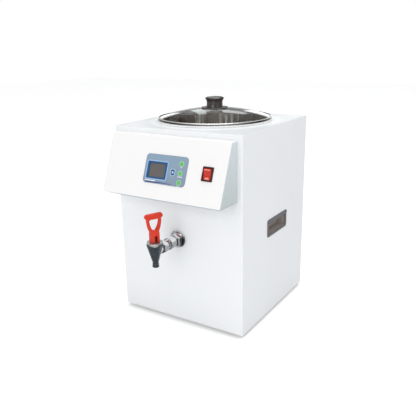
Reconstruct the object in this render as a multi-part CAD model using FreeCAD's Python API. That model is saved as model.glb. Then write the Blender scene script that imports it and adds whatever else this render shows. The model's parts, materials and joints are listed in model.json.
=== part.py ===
"""Paraffin wax dispenser: a heated steel tank in a sheet cabinet, with a sloped control box and a front tap.

Millimetres, +Z up, the front faces -Y. The origin is the centre of the whole object's footprint, on the bench.
"""
import FreeCAD, Part
import math
import os

V = FreeCAD.Vector
UP = V(0, 0, 1)
OUT = V(0, -1, 0)
INWARD = V(0, 1, 0)
ACROSS = V(1, 0, 0)

# Gaps and allowances
fit_gap = 0.2
running_gap = 0.3
shaft_gap = 0.08
bond_gap = 0.1
overrun = 4.0

# Cabinet sheet work
body_width = 306.0
body_depth = 309.0
body_height = 414.2
sheet = 1.5
bend_radius = 2.5
inner_corner_radius = 3.0
side_return = 13.0
skirt_height = 12.0
top_edge_radius = 0.8

# Screws
screw_radius = 2.0
small_screw_radius = 1.25
screw_grip = 5.0
head_radius_share = 1.9
head_height_share = 1.15
head_side_share = 0.4
recess_width_share = 0.55
recess_length_share = 2.3
recess_depth_share = 0.55

# Feet
foot_height = 8.0
foot_radius = 13.0
foot_base_radius = 11.5
foot_inset = 38.0
foot_recess_radius = 6.0
foot_recess_depth = 4.5

# Vents
vent_length = 46.0
vent_width = 4.0
vent_pitch = 10.0
vent_rows = 6
vent_offset = 62.0
vent_top_drop = 50.0
vent_base_rise = 42.0
base_vent_rows = 5
slot_end_share = 0.49

# Tank, seen through the lid
tank_side_gap = 35.0
tank_wall = 1.2
tank_flange_width = 6.4
tank_flange_thickness = 3.3
tank_flange_edge = 1.2
gasket_thickness = 1.0
gasket_inset = 1.0
opening_gap = 1.0
outlet_outer_radius = 12.5
tank_floor_drop = 10.5
strainer_plug = 4.0
strainer_reach = 14.0
strainer_radius = 8.4
strainer_wall = 0.8
strainer_rows = 3
strainer_holes = 10
strainer_pitch = 3.4
strainer_hole_radius = 1.1

# Heating and insulation
heater_inset = 18.0
bottom_heater_thickness = 4.0
bottom_insulation_thickness = 14.0
centre_hole_radius = 14.0
band_height = 86.0
band_rise = 28.0
band_thickness = 2.2
band_split = 16.0
band_lug = 9.0
band_bolt_shares = (0.2, 0.8)
jacket_gap = 3.4
jacket_thickness = 20.0
jacket_top_gap = 2.0
jacket_clearance = 1.5
cable_hole_width = 40.0
cable_hole_depth = 18.0
cable_hole_inset = 16.0

# Temperature probe and overheat cut-out
probe_radius = 3.0
probe_reach = 30.0
probe_rise = 22.0
probe_nut_radius = 8.0
probe_nut_thickness = 7.0
probe_tail = 12.0
cutout_radius = 8.5
cutout_height = 8.0
cutout_blade_length = 7.0
cutout_blade_width = 5.0
cutout_blade_thickness = 0.8
cutout_blade_spacing = 8.0

# Control box
box_side_inset = 10.9
box_bottom = 284.7
box_face_height = 117.8
box_bottom_depth = 65.6
box_top_depth = 19.0
box_edge_radius = 1.3
box_tab_width = 16.0
box_tab_height = 12.0
box_cable_width = 60.0
box_cable_height = 24.0

# Display overlay, in the sloped face: across from the middle, and up from its lower edge
overlay_left = -42.7
overlay_right = 56.8
overlay_low = 33.0
overlay_high = 91.1
overlay_thickness = 1.0
overlay_radius = 7.5
bezel_left = -36.1
bezel_right = 10.3
bezel_low = 42.9
bezel_high = 76.2
bezel_flange = 1.5
bezel_flange_thickness = 1.0
bezel_proud = 0.4
bezel_radius = 1.5
screen_left = -31.0
screen_right = 6.1
screen_low = 45.5
screen_high = 73.1
screen_border = 1.6
indicator_across = 25.2
indicator_up = 59.1
indicator_width = 4.2
indicator_height = 4.6

# Push buttons
button_radius = 5.3
button_across = 43.1
button_heights = {"button_up": 77.3, "button_set": 58.9, "button_down": 40.6}
button_dome = 0.8
button_flange = 0.5
button_flange_thickness = 0.9
button_stem_radius = 2.0
button_stem_length = 2.0
button_travel = 0.6

# Controller board behind the face
board_gap = 8.0
board_thickness = 1.6
board_border = 6.0
standoff_radius = 2.6
standoff_inset = 3.4
board_screw_grip = 4.5
key_size = 6.0
key_height = 3.8
key_plunger_radius = 1.7
chip_size = 12.0
chip_height = 1.8
chip_left = 16.0
chip_up = 22.0
plug_length = 20.0
plug_width = 6.0
plug_height = 8.0
plug_up = 12.0

# Mains rocker switch
switch_inset = 39.3
switch_up = 64.15
switch_width = 23.4
switch_height = 27.9
switch_frame = 2.0
switch_body_inset = 1.5
switch_depth = 17.0
switch_radius = 1.2
frame_round_share = 0.4
rocker_width = 15.6
rocker_height = 20.7
rocker_crest = 2.6
rocker_valley = 1.5
rocker_depth = 5.0
rocker_tilt = 10.0
pivot_depth = 1.2
pivot_radius = 0.9
cavity_depth = 8.0
pivot_hold = 1.4
blade_length = 8.0
blade_width = 5.0
blade_thickness = 0.8
blade_pitch = 7.0

# Side handle recesses
grip_front = 109.5
grip_length = 96.0
grip_bottom = 179.0
grip_height = 39.0
grip_radius = 5.0
grip_flange = 3.0
grip_flange_thickness = 1.0
grip_wall = 1.6
grip_depth = 21.0
hood_height = 10.5
hood_proud = 0.9
hood_thickness = 4.0

# Lid
rim_inset = 1.3
rim_wall = 0.8
rim_lip = 4.2
rim_corner = 1.2
rim_clearance = 2.6
rim_drop = 4.5
glass_thickness = 2.6
glass_edge = 1.1
dome_rise = 19.0
glass_hole_radius = 4.0
vent_radius = 5.4
vent_bore = 1.6
vent_lip = 0.9
vent_seat = 1.8
vent_across = 8.0
vent_forward = 40.0
plate_radius = 29.4
plate_thickness = 1.3
knob_base_radius = 18.1
knob_waist_radius = 17.3
knob_head_radius = 20.8
knob_height = 23.0
knob_waist_rise = 5.0
knob_flare_rise = 9.5
knob_head_rise = 18.8
knob_shoulder_radius = 18.0
knob_shoulder_rise = 21.4
knob_bore_depth = 14.0
knob_edge = 1.1
washer_radius = 10.5
washer_thickness = 1.4
knob_screw_radius = 2.6

# Tap, out from the cabinet front
tap_reach = 78.5
shank_height = 185.5
shank_radius = 10.4
shank_bore = 6.5
shank_in_outlet = 20.0
back_nut_radius = 16.5
back_nut_thickness = 7.0
outlet_gap = 2.0
seal_thickness = 1.5
seal_radius = 16.5
flange_radius = 18.7
flange_thickness = 3.0
flange_step_radius = 15.4
flange_step = 4.0
flange_chamfer = 0.9
lock_nut_thickness = 8.5
lock_nut_radius = 14.4
groove_radius = 9.6
groove_width = 3.0
barrel_radius = 12.5
barrel_length = 18.6
barrel_chamfer = 1.6
neck_radius = 7.6
neck_length = 10.0
thread_length = 6.5
coupling_radius = 13.4
coupling_lip = 1.8
coupling_wall = 1.7
port_radius = 9.0
port_collar = 3.6
port_bore = 5.5

# Tap body and valve
tip_drop = 34.2
tip_radius = 6.9
spout_radius = 6.1
tip_edge = 1.2
straight_length = 10.7
cone_radius = 16.6
cone_collar = 1.0
tap_rise = 13.4
spout_bore = 4.5
seat_drop = 9.0
seat_width = 0.9
chamber_low_radius = 7.2
chamber_radius = 9.0
chamber_low_height = 4.0
bonnet_radius = 17.8
bonnet_thickness = 5.3
bonnet_chamfer = 0.6
bonnet_turn = 8.5
bonnet_plug = 4.5
stem_radius = 3.2
stem_socket = 4.5
cup_height = 6.5
cup_foot_radius = 5.6
cup_neck_radius = 5.0
spring_wire = 0.8
spring_radius = 5.6
spring_turns = 4.0

# Tap handle, a stirrup loop on a slotted block
swivel_angle = 66.0
block_width = 17.2
block_depth = 14.8
block_shoulder = 19.0
block_slope = 6.0
block_edge = 1.2
slot_width = 6.2
slot_back = 4.0
slot_above_pin = 4.6
pin_height = 9.0
pin_radius = 1.5
pin_recess = 0.5
cam_offset = 3.0
loop_thickness = 8.0
loop_edge_radius = 2.2
arm_flare = 13.2
arm_flare_rise = 30.0
arm_half_width = 15.4
bar_half_length = 19.4
bar_height = 10.9
bar_rise = 47.6
window_rise = 20.8
window_base_radius = 3.6
window_flare = 8.7
window_flare_rise = 33.0
window_half_width = 11.2
window_corner = 2.6

# Mains inlet on the back
inlet_inset = 58.0
inlet_rise = 52.0
inlet_width = 50.0
inlet_height = 35.0
inlet_flange = 3.0
inlet_radius = 3.0
inlet_body_width = 28.0
inlet_body_height = 31.5
inlet_body_depth = 24.0
socket_width = 24.2
socket_height = 16.6
socket_depth = 16.0
socket_rise = 4.6
socket_chamfer = 5.0
inlet_pin_width = 4.0
inlet_pin_thickness = 2.0
inlet_pin_length = 11.0
inlet_pin_spacing = 7.0
inlet_pin_drop = 2.0
drawer_width = 23.4
drawer_height = 7.6
drawer_depth = 18.0
drawer_drop = 10.2
drawer_lip = 1.2
drawer_lip_height = 2.4
inlet_screw_pitch = 40.0
inlet_tab_length = 7.0

# Power board on the base
power_width = 96.0
power_depth = 70.0
power_rise = 9.0
power_across = -55.0
power_back = 60.0
relay_size = (28.0, 12.0, 25.0)
transformer_size = (34.0, 30.0, 26.0)
terminal_size = (46.0, 11.0, 13.0)
capacitor_radius = 7.0
capacitor_height = 20.0
part_margin = 9.0

# Places worked out from the sizes
half_width = body_width / 2
swivel = math.radians(swivel_angle)
bar_overhang = ((bar_half_length - loop_edge_radius) * math.sin(swivel)
                + (loop_thickness / 2 - loop_edge_radius) * math.cos(swivel) + loop_edge_radius)
front_y = (tap_reach + bar_overhang - body_depth - inlet_flange - drawer_lip) / 2
rear_y = front_y + body_depth
axis_y = front_y + body_depth / 2
tap_y = front_y - tap_reach
body_bottom = foot_height
body_top = foot_height + body_height
plate_low = body_top - sheet
inner_half = half_width - sheet - fit_gap
inner_front = front_y + sheet + fit_gap
inner_back = rear_y - 2 * sheet - fit_gap

tank_inner_radius = min(body_width, body_depth) / 2 - tank_side_gap
tank_outer_radius = tank_inner_radius + tank_wall
tank_flange_radius = tank_outer_radius + tank_flange_width
gasket_outer_radius = tank_flange_radius - gasket_inset
opening_radius = tank_outer_radius + opening_gap
gasket_top = body_top + gasket_thickness
tank_top = gasket_top + tank_flange_thickness
shank_z = foot_height + shank_height
tank_floor = shank_z - tank_floor_drop
tank_base = tank_floor - tank_wall
outlet_radius = shank_radius + bond_gap
outlet_front = front_y + sheet + back_nut_thickness + outlet_gap
heater_base = tank_base - bottom_heater_thickness
deck_top = heater_base - bottom_insulation_thickness
probe_z = tank_floor + probe_rise
band_low = tank_floor + band_rise
bottom_heater_radius = tank_inner_radius - heater_inset
jacket_inner_radius = tank_outer_radius + jacket_gap
jacket_outer_radius = jacket_inner_radius + jacket_thickness

box_half_width = half_width - box_side_inset
switch_across = box_half_width - switch_inset
box_low = foot_height + box_bottom
box_high = box_low + box_face_height
face_slope = math.atan2(box_bottom_depth - box_top_depth, box_face_height)
tilt = math.degrees(face_slope)
board_back = -board_gap
key_low = board_back + key_height

grip_y = front_y + grip_front
grip_z = foot_height + grip_bottom

rim_radius = tank_flange_radius - rim_inset
rim_inner_radius = tank_inner_radius - rim_clearance
lid_seat = tank_top + running_gap
glass_low = lid_seat + rim_wall + bond_gap
glass_high = glass_low + glass_thickness
rim_height = 2 * rim_wall + 2 * bond_gap + glass_thickness
dome_base_radius = rim_radius - rim_lip
dome_radius = (dome_base_radius ** 2 + dome_rise ** 2) / (2 * dome_rise)
dome_centre_z = glass_high + dome_rise - dome_radius
dome_inner_radius = dome_radius - glass_thickness
plate_seat = glass_high + dome_rise
plate_top = plate_seat + plate_thickness + bond_gap

flange_back = front_y - seal_thickness
flange_front = flange_back - flange_thickness - flange_step
lock_nut_front = flange_front - lock_nut_thickness
barrel_back = lock_nut_front - groove_width
barrel_front = barrel_back - barrel_length
thread_back = barrel_front - neck_length
thread_front = thread_back - thread_length
collar_front = thread_front - port_collar
coupling_front = collar_front - bond_gap - coupling_lip
thread_radius = coupling_radius * math.cos(math.radians(30)) - coupling_wall

tip_z = shank_z - tip_drop
tap_top = shank_z + tap_rise
cone_top_z = tap_top - cone_collar
seat_z = shank_z - seat_drop
bonnet_top = tap_top + bonnet_thickness
block_low = bonnet_top + running_gap
pin_z = block_low + pin_height
bar_low = block_low + bar_rise
bar_top = bar_low + bar_height
cup_top = seat_z + running_gap + cup_height
spring_top = tap_top - bonnet_plug

inlet_across = half_width - inlet_inset
inlet_z = body_bottom + inlet_rise
base_top = body_bottom + sheet


def box(x0, x1, y0, y1, z0, z1):
    """Block between two corners."""
    return Part.makeBox(x1 - x0, y1 - y0, z1 - z0, V(x0, y0, z0))


def rod(radius, start, end):
    """Round bar between two points."""
    along = end - start
    return Part.makeCylinder(radius, along.Length, start, along)


def tube(outer, inner, start, end):
    """Round tube between two points."""
    along = (end - start).normalize() * overrun
    return rod(outer, start, end).cut(rod(inner, start - along, end + along))


def outline(place, start, steps):
    """Closed wire: each step is a point, or a pair of points for an arc through the first to the second."""
    edges = []
    here = place(*start)
    for step in steps:
        if isinstance(step[0], tuple):
            end = place(*step[1])
            edges.append(Part.Arc(here, place(*step[0]), end).toShape())
        else:
            end = place(*step)
            edges.append(Part.LineSegment(here, end).toShape())
        here = end
    return Part.Wire(edges)


def turned(start, steps, x=0.0, y=0.0):
    """Solid of revolution about the upright line through x, y; points are radius and height."""
    wire = outline(lambda r, z: V(x + r, y, z), start, steps)
    return Part.Face(wire).revolve(V(x, y, 0), UP, 360)


def turned_out(start, steps):
    """Solid of revolution about the tap's level axis; points are radius and distance along +Y."""
    wire = outline(lambda r, y: V(r, y, shank_z), start, steps)
    return Part.Face(wire).revolve(V(0, 0, shank_z), INWARD, 360)


def rounded(a0, a1, b0, b1, radius):
    """Start and steps of a rounded rectangle in two coordinates."""
    k = radius * (1 - math.sqrt(0.5))
    steps = [
        (a1 - radius, b0), ((a1 - k, b0 + k), (a1, b0 + radius)),
        (a1, b1 - radius), ((a1 - k, b1 - k), (a1 - radius, b1)),
        (a0 + radius, b1), ((a0 + k, b1 - k), (a0, b1 - radius)),
        (a0, b0 + radius), ((a0 + k, b0 + k), (a0 + radius, b0)),
    ]
    return (a0 + radius, b0), steps


def flat_block(x0, x1, y0, y1, z0, z1, radius):
    """Plate or block with rounded upright corners."""
    start, steps = rounded(x0, x1, y0, y1, radius)
    wire = outline(lambda a, b: V(a, b, z0), start, steps)
    return Part.Face(wire).extrude(UP * (z1 - z0))


def side_block(x0, x1, y0, y1, z0, z1, radius):
    """Block that runs along X, with rounded corners in Y and Z."""
    start, steps = rounded(y0, y1, z0, z1, radius)
    wire = outline(lambda a, b: V(x0, a, b), start, steps)
    return Part.Face(wire).extrude(ACROSS * (x1 - x0))


def back_block(x0, x1, y0, y1, z0, z1, radius):
    """Block that runs along Y, with rounded corners in X and Z."""
    start, steps = rounded(x0, x1, z0, z1, radius)
    wire = outline(lambda a, b: V(a, y0, b), start, steps)
    return Part.Face(wire).extrude(INWARD * (y1 - y0))


def hexagon(radius, start, end, turn=0.0):
    """Six-sided bar between two points on a level or upright axis; radius is to its corners."""
    along = end - start
    side = ACROSS
    other = along.cross(side).normalize()
    points = []
    for n in range(7):
        angle = math.radians(60 * n + turn)
        points.append(start + side * (radius * math.cos(angle)) + other * (radius * math.sin(angle)))
    return Part.Face(Part.makePolygon(points)).extrude(along)


def pan_screw(seat, direction, length, radius):
    """Cross-recessed pan head screw: its head sits on seat and its shank runs along direction."""
    head_radius = radius * head_radius_share
    head_height = radius * head_height_share
    side = head_height * head_side_share
    bulge = (head_radius * math.sqrt(0.5), -side - (head_height - side) * math.sqrt(0.5))
    head = turned((0, 0), [(head_radius, 0), (head_radius, -side), (bulge, (0, -head_height)), (0, 0)])
    shape = head.fuse(rod(radius, V(0, 0, 0), V(0, 0, length)))
    wide = radius * recess_width_share / 2
    long = radius * recess_length_share / 2
    floor = -head_height * (1 - recess_depth_share)
    for a, b in ((wide, long), (long, wide)):
        shape = shape.cut(box(-a, a, -b, b, -head_height - overrun, floor))
    shape.Placement = FreeCAD.Placement(seat, FreeCAD.Rotation(UP, direction))
    return shape


def on_face(shape):
    """Carries a shape from face coordinates (across, up the slope, outward) onto the control box."""
    lower_edge = V(0, front_y - box_bottom_depth, box_low)
    place = FreeCAD.Placement(lower_edge, FreeCAD.Rotation(ACROSS, 90 - tilt))
    moved = shape.copy()
    moved.Placement = place.multiply(moved.Placement)
    return moved


def at_swivel(shape):
    """Turns a tap piece about the tap's upright axis to where the handle stands."""
    turned_shape = shape.copy()
    turned_shape.rotate(V(0, tap_y, 0), UP, swivel_angle)
    return turned_shape


def crown(radius, low, high):
    """Middle point of a crowned top that runs from a radius at low to the axis at high."""
    rise = high - low
    ball = (radius ** 2 + rise ** 2) / (2 * rise)
    return radius / 2, high - ball + math.sqrt(ball ** 2 - radius ** 2 / 4)


def group(shapes):
    """Several like solids in one node."""
    return Part.makeCompound(shapes)


def corners(x, y):
    """The four sign pairs of a rectangle's corners, at half sizes x and y."""
    return [(-x, -y), (x, -y), (-x, y), (x, y)]


# Cabinet

def foot_places():
    x = half_width - foot_inset
    return [(sx, sy + axis_y) for sx, sy in corners(x, body_depth / 2 - foot_inset)]


def box_tab_places():
    """Centres of the control box's fixing tabs."""
    x = box_half_width - sheet - box_tab_width / 2
    low = box_low + sheet + box_tab_height / 2
    high = box_high - sheet - box_tab_height / 2
    return [(-x, low), (x, low), (-x, high), (x, high)]


def rear_screw_places():
    x = half_width - bend_radius - (side_return - bend_radius) / 2
    low = body_bottom + skirt_height * 2
    high = plate_low - skirt_height * 2
    return [(s * x, z) for s in (-1, 1) for z in (low, (low + high) / 2, high)]


def grip_outline(x0, x1, inset, side):
    """Block through the cabinet side in the shape of the hand recess, drawn in by inset."""
    shape = side_block(x0, x1, grip_y + inset, grip_y + grip_length - inset, grip_z + inset,
                       grip_z + grip_height - inset, grip_radius - inset / 2)
    return shape if side > 0 else shape.mirror(V(0, 0, 0), ACROSS)


def cabinet_shell():
    """Front and both sides bent from one sheet, with returns that carry the rear panel."""
    back = rear_y - sheet
    outer = flat_block(-half_width, half_width, front_y, back, body_bottom, plate_low, bend_radius)
    inner = flat_block(-half_width + sheet, half_width - sheet, front_y + sheet, back - sheet,
                       body_bottom - overrun, plate_low + overrun, bend_radius - sheet)
    shell = outer.cut(inner)
    gap = half_width - side_return
    shell = shell.cut(box(-gap, gap, back - sheet - overrun, back + overrun, body_bottom - overrun,
                          plate_low + overrun))
    for side in (-1, 1):
        shell = shell.cut(grip_outline(half_width - sheet - overrun, half_width + overrun,
                                       grip_flange - fit_gap, side))
    shell = shell.cut(rod(shank_radius + fit_gap, V(0, front_y - overrun, shank_z),
                          V(0, front_y + sheet + overrun, shank_z)))
    cable_z = (box_low + box_high) / 2
    shell = shell.cut(box(-box_cable_width / 2, box_cable_width / 2, front_y - overrun,
                          front_y + sheet + overrun, cable_z - box_cable_height / 2,
                          cable_z + box_cable_height / 2))
    for x, z in box_tab_places():
        shell = shell.cut(rod(screw_radius + fit_gap, V(x, front_y - overrun, z),
                              V(x, front_y + sheet + overrun, z)))
    for x, z in rear_screw_places():
        shell = shell.cut(rod(screw_radius + fit_gap, V(x, back - sheet - overrun, z), V(x, back + overrun, z)))
    return shell


def skirt(z0, z1):
    """Ring of turned-over sheet just inside the cabinet walls."""
    ring = flat_block(-inner_half, inner_half, inner_front, inner_back, z0, z1, inner_corner_radius)
    hole = flat_block(-inner_half + sheet, inner_half - sheet, inner_front + sheet, inner_back - sheet,
                      z0 - overrun, z1 + overrun, inner_corner_radius - sheet)
    return ring.cut(hole)


def top_plate():
    """Flat top with the tank opening and a skirt that drops inside the cabinet."""
    plate = flat_block(-half_width, half_width, front_y, rear_y, plate_low, body_top, bend_radius)
    rim = [edge for edge in plate.Edges if edge.BoundBox.ZMin > body_top - sheet / 2]
    plate = plate.makeFillet(top_edge_radius, rim)
    plate = plate.fuse(skirt(plate_low - skirt_height, plate_low))
    return plate.cut(rod(opening_radius, V(0, axis_y, plate_low - overrun), V(0, axis_y, body_top + overrun)))


def vent_slots(x, z, rows, y0, y1):
    """Rows of level slots cut along Y, centred on x and starting at z."""
    slots = []
    for row in range(rows):
        low = z + row * vent_pitch
        slots.append(back_block(x - vent_length / 2, x + vent_length / 2, y0, y1, low, low + vent_width,
                                vent_width * slot_end_share))
    return slots


def rear_panel():
    """Flat back with two fields of vent slots and the inlet cut-out."""
    side = half_width - bend_radius
    panel = box(-side, side, rear_y - sheet, rear_y, body_bottom, plate_low)
    cuts = []
    vent_run = (vent_rows - 1) * vent_pitch + vent_width
    for x in (-vent_offset, vent_offset):
        cuts += vent_slots(x, plate_low - vent_top_drop - vent_run, vent_rows, rear_y - sheet - overrun,
                           rear_y + overrun)
    cuts += vent_slots(-vent_offset, body_bottom + vent_base_rise, vent_rows, rear_y - sheet - overrun,
                       rear_y + overrun)
    half_w = inlet_body_width / 2 + fit_gap
    half_h = inlet_body_height / 2 + fit_gap
    cuts.append(box(inlet_across - half_w, inlet_across + half_w, rear_y - sheet - overrun,
                    rear_y + overrun, inlet_z - half_h, inlet_z + half_h))
    for side_sign in (-1, 1):
        x = inlet_across + side_sign * inlet_screw_pitch / 2
        cuts.append(rod(small_screw_radius + fit_gap, V(x, rear_y - sheet - overrun, inlet_z),
                        V(x, rear_y + overrun, inlet_z)))
    for x, z in rear_screw_places():
        cuts.append(rod(screw_radius + fit_gap, V(x, rear_y - sheet - overrun, z), V(x, rear_y + overrun, z)))
    return panel.cut(cuts)


def panel_screws():
    """Screws that hold the rear panel on the cabinet's returns, and the inlet on the rear panel."""
    screws = [pan_screw(V(x, rear_y, z), OUT, screw_grip, screw_radius) for x, z in rear_screw_places()]
    for side in (-1, 1):
        seat = V(inlet_across + side * inlet_screw_pitch / 2, rear_y + inlet_flange, inlet_z)
        screws.append(pan_screw(seat, OUT, inlet_flange + sheet + screw_grip / 2, small_screw_radius))
    return group(screws)


def base_plate():
    """Floor pan with an upturned edge, foot holes and vent slots."""
    pan = flat_block(-inner_half, inner_half, inner_front, inner_back, body_bottom, base_top,
                     inner_corner_radius)
    pan = pan.fuse(skirt(base_top, base_top + skirt_height))
    cuts = []
    for x, y in foot_places():
        cuts.append(rod(screw_radius + fit_gap, V(x, y, body_bottom - overrun), V(x, y, base_top + overrun)))
    first = axis_y - (base_vent_rows - 1) / 2 * vent_pitch * 2
    for x in (0, vent_offset):
        for row in range(base_vent_rows):
            y = first + row * vent_pitch * 2
            cuts.append(flat_block(x - vent_length / 2, x + vent_length / 2, y - vent_width / 2,
                                   y + vent_width / 2, body_bottom - overrun, base_top + overrun,
                                   vent_width * slot_end_share))
    return pan.cut(cuts)


def rubber_feet():
    """Four tapered feet with a sunk screw recess."""
    feet = []
    for x, y in foot_places():
        foot = turned((0, 0), [(foot_base_radius, 0), (foot_radius, foot_height), (0, foot_height), (0, 0)], x, y)
        foot = foot.cut(rod(foot_recess_radius, V(x, y, -overrun), V(x, y, foot_recess_depth)))
        feet.append(foot.cut(rod(screw_radius + fit_gap, V(x, y, 0), V(x, y, foot_height + overrun))))
    return group(feet)


def foot_screws():
    """Screws up through the feet into the floor pan."""
    length = foot_height - foot_recess_depth + sheet + screw_grip
    return group([pan_screw(V(x, y, foot_recess_depth), UP, length, screw_radius) for x, y in foot_places()])


def handle_cup(side):
    """Moulded hand recess with a frame, a pocket and a hood along its top."""
    face = half_width + grip_flange_thickness
    cup = grip_outline(half_width, face, 0, 1)
    cup = cup.fuse(grip_outline(half_width - grip_depth - grip_wall, half_width, grip_flange, 1))
    cup = cup.cut(grip_outline(half_width - grip_depth, face + overrun, grip_flange + grip_wall, 1))
    top = grip_z + grip_height
    low = top - hood_height
    nose = face + hood_proud
    back = face - hood_thickness
    wire = outline(lambda x, z: V(x, grip_y, z), (back, low), [
        (face - hood_proud, low), ((nose, (low + top) / 2), (face - hood_proud, top)), (back, top), (back, low)])
    hood = Part.Face(wire).extrude(INWARD * grip_length)
    cup = cup.fuse(hood.common(grip_outline(back - overrun, nose + overrun, 0, 1)).cut(
        grip_outline(back - overrun, half_width, 0, 1).cut(
            grip_outline(back - 2 * overrun, half_width + overrun, grip_flange, 1))))
    cup = cup.removeSplitter()
    return cup if side > 0 else cup.mirror(V(0, 0, 0), ACROSS)


def handle_cup_left():
    return handle_cup(-1)


def handle_cup_right():
    return handle_cup(1)


# Tank and heating

def deck_plate():
    """Shelf across the cabinet that carries the tank, with turned-down edges."""
    deck = flat_block(-inner_half, inner_half, inner_front, inner_back, deck_top - sheet, deck_top,
                      inner_corner_radius)
    deck = deck.fuse(skirt(deck_top - sheet - skirt_height, deck_top - sheet))
    deck = deck.cut(rod(centre_hole_radius, V(0, axis_y, deck_top - sheet - overrun),
                        V(0, axis_y, deck_top + overrun)))
    x0 = -inner_half + cable_hole_inset
    for y0 in (inner_front + cable_hole_inset, inner_back - cable_hole_inset - cable_hole_depth):
        deck = deck.cut(flat_block(x0, x0 + cable_hole_width, y0, y0 + cable_hole_depth,
                                   deck_top - sheet - overrun, deck_top + overrun, inner_corner_radius))
    return deck


def bottom_insulation():
    """Disc of felt between the shelf and the heater."""
    return tube(bottom_heater_radius, centre_hole_radius, V(0, axis_y, deck_top), V(0, axis_y, heater_base))


def bottom_heater():
    """Flat ring heater under the tank."""
    return tube(bottom_heater_radius, centre_hole_radius, V(0, axis_y, heater_base), V(0, axis_y, tank_base))


def tank():
    """Steel pot wall with a rolled rim and a welded outlet tube."""
    e = tank_flange_edge
    k = e * (1 - math.sqrt(0.5))
    edge = tank_flange_radius
    pot = turned((0, tank_base), [
        (tank_outer_radius, tank_base), (tank_outer_radius, gasket_top), (edge - e, gasket_top),
        ((edge - k, gasket_top + k), (edge, gasket_top + e)), (edge, tank_top - e),
        ((edge - k, tank_top - k), (edge - e, tank_top)), (0, tank_top), (0, tank_base)], 0, axis_y)
    wall_y = axis_y - tank_inner_radius
    pot = pot.fuse(rod(outlet_outer_radius, V(0, outlet_front, shank_z), V(0, wall_y + overrun, shank_z)))
    pot = pot.cut(rod(tank_inner_radius, V(0, axis_y, tank_base - overrun), V(0, axis_y, tank_top + overrun)))
    pot = pot.cut(rod(outlet_radius, V(0, outlet_front - overrun, shank_z), V(0, wall_y + 2 * overrun, shank_z)))
    wall_back = axis_y + tank_inner_radius
    return pot.cut(rod(probe_radius + fit_gap, V(0, wall_back - overrun, probe_z),
                       V(0, wall_back + overrun, probe_z)))


def tank_bottom():
    """Round floor welded into the lower end of the tank wall."""
    return rod(tank_inner_radius - bond_gap, V(0, axis_y, tank_base), V(0, axis_y, tank_floor))


def tank_gasket():
    """Seal between the tank rim and the top plate."""
    return tube(gasket_outer_radius, tank_outer_radius + bond_gap, V(0, axis_y, body_top), V(0, axis_y, gasket_top))


def outlet_strainer():
    """Perforated cap over the outlet, inside the tank."""
    wall_y = axis_y - tank_inner_radius
    start = wall_y - tank_wall - strainer_plug
    end = wall_y + strainer_reach
    cap = rod(outlet_radius - bond_gap, V(0, start, shank_z), V(0, wall_y - tank_wall, shank_z))
    cap = cap.fuse(rod(strainer_radius, V(0, start, shank_z), V(0, end, shank_z)))
    cap = cap.cut(rod(strainer_radius - strainer_wall, V(0, start - overrun, shank_z),
                      V(0, end - strainer_wall, shank_z)))
    holes = []
    for row in range(strainer_rows):
        y = wall_y + strainer_pitch * (row + 1)
        for n in range(strainer_holes):
            angle = 2 * math.pi * n / strainer_holes
            away = V(math.cos(angle), 0, math.sin(angle)) * (strainer_radius + overrun)
            holes.append(rod(strainer_hole_radius, V(0, y, shank_z), V(0, y, shank_z) + away))
    return cap.cut(holes)


def heater_band():
    """Split band heater round the tank, with clamping lugs."""
    inner = tank_outer_radius + bond_gap
    low = V(0, axis_y, band_low)
    high = V(0, axis_y, band_low + band_height)
    band = tube(inner + band_thickness, inner, low, high)
    back = axis_y + tank_outer_radius
    gap = band_split / 2
    band = band.cut(box(-gap, gap, back - band_lug, back + band_lug, band_low - overrun,
                        band_low + band_height + overrun))
    root = axis_y + math.sqrt((inner + band_thickness / 2) ** 2 - gap ** 2)
    for side in (-1, 1):
        x0, x1 = sorted((side * gap, side * (gap + band_thickness)))
        lug = box(x0, x1, root, back + band_lug, band_low, band_low + band_height)
        band = band.fuse(lug.cut(rod(inner, low - UP * overrun, high + UP * overrun)))
    bolt_y = back + band_lug / 2 + band_thickness / 2
    for share in band_bolt_shares:
        z = band_low + band_height * share
        band = band.fuse(rod(small_screw_radius, V(-gap - 2 * band_thickness, bolt_y, z),
                             V(gap + 2 * band_thickness, bolt_y, z)))
    return band


def insulation_jacket():
    """Mineral wool sleeve round the tank, cut away for the hand recesses, outlet and probe."""
    low = deck_top
    high = plate_low - jacket_top_gap
    jacket = tube(jacket_outer_radius, jacket_inner_radius, V(0, axis_y, low), V(0, axis_y, high))
    depth = half_width - grip_depth - grip_wall - jacket_clearance
    cuts = []
    for side in (-1, 1):
        x0, x1 = sorted((side * depth, side * half_width))
        cuts.append(box(x0, x1, grip_y - jacket_clearance, grip_y + grip_length + jacket_clearance,
                        grip_z - jacket_clearance, grip_z + grip_height + jacket_clearance))
    cuts.append(rod(outlet_outer_radius + jacket_clearance, V(0, front_y, shank_z), V(0, axis_y, shank_z)))
    slot = band_split / 2 + 2 * band_thickness + jacket_clearance
    cuts.append(box(-slot, slot, axis_y, axis_y + tank_outer_radius + band_lug + jacket_clearance,
                    probe_z - probe_nut_radius - jacket_clearance, band_low + band_height + jacket_clearance))
    cuts.append(rod(probe_nut_radius + jacket_clearance, V(0, axis_y, probe_z), V(0, rear_y, probe_z)))
    return jacket.cut(cuts)


def temperature_probe():
    """Sheathed sensor through the back of the tank, with its hexagon fitting."""
    wall = axis_y + tank_outer_radius
    sheath = rod(probe_radius, V(0, axis_y + tank_inner_radius - probe_reach, probe_z),
                 V(0, wall + probe_nut_thickness + probe_tail, probe_z))
    nut = hexagon(probe_nut_radius, V(0, wall + bond_gap, probe_z), V(0, wall + probe_nut_thickness, probe_z))
    return sheath.fuse(nut)


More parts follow.
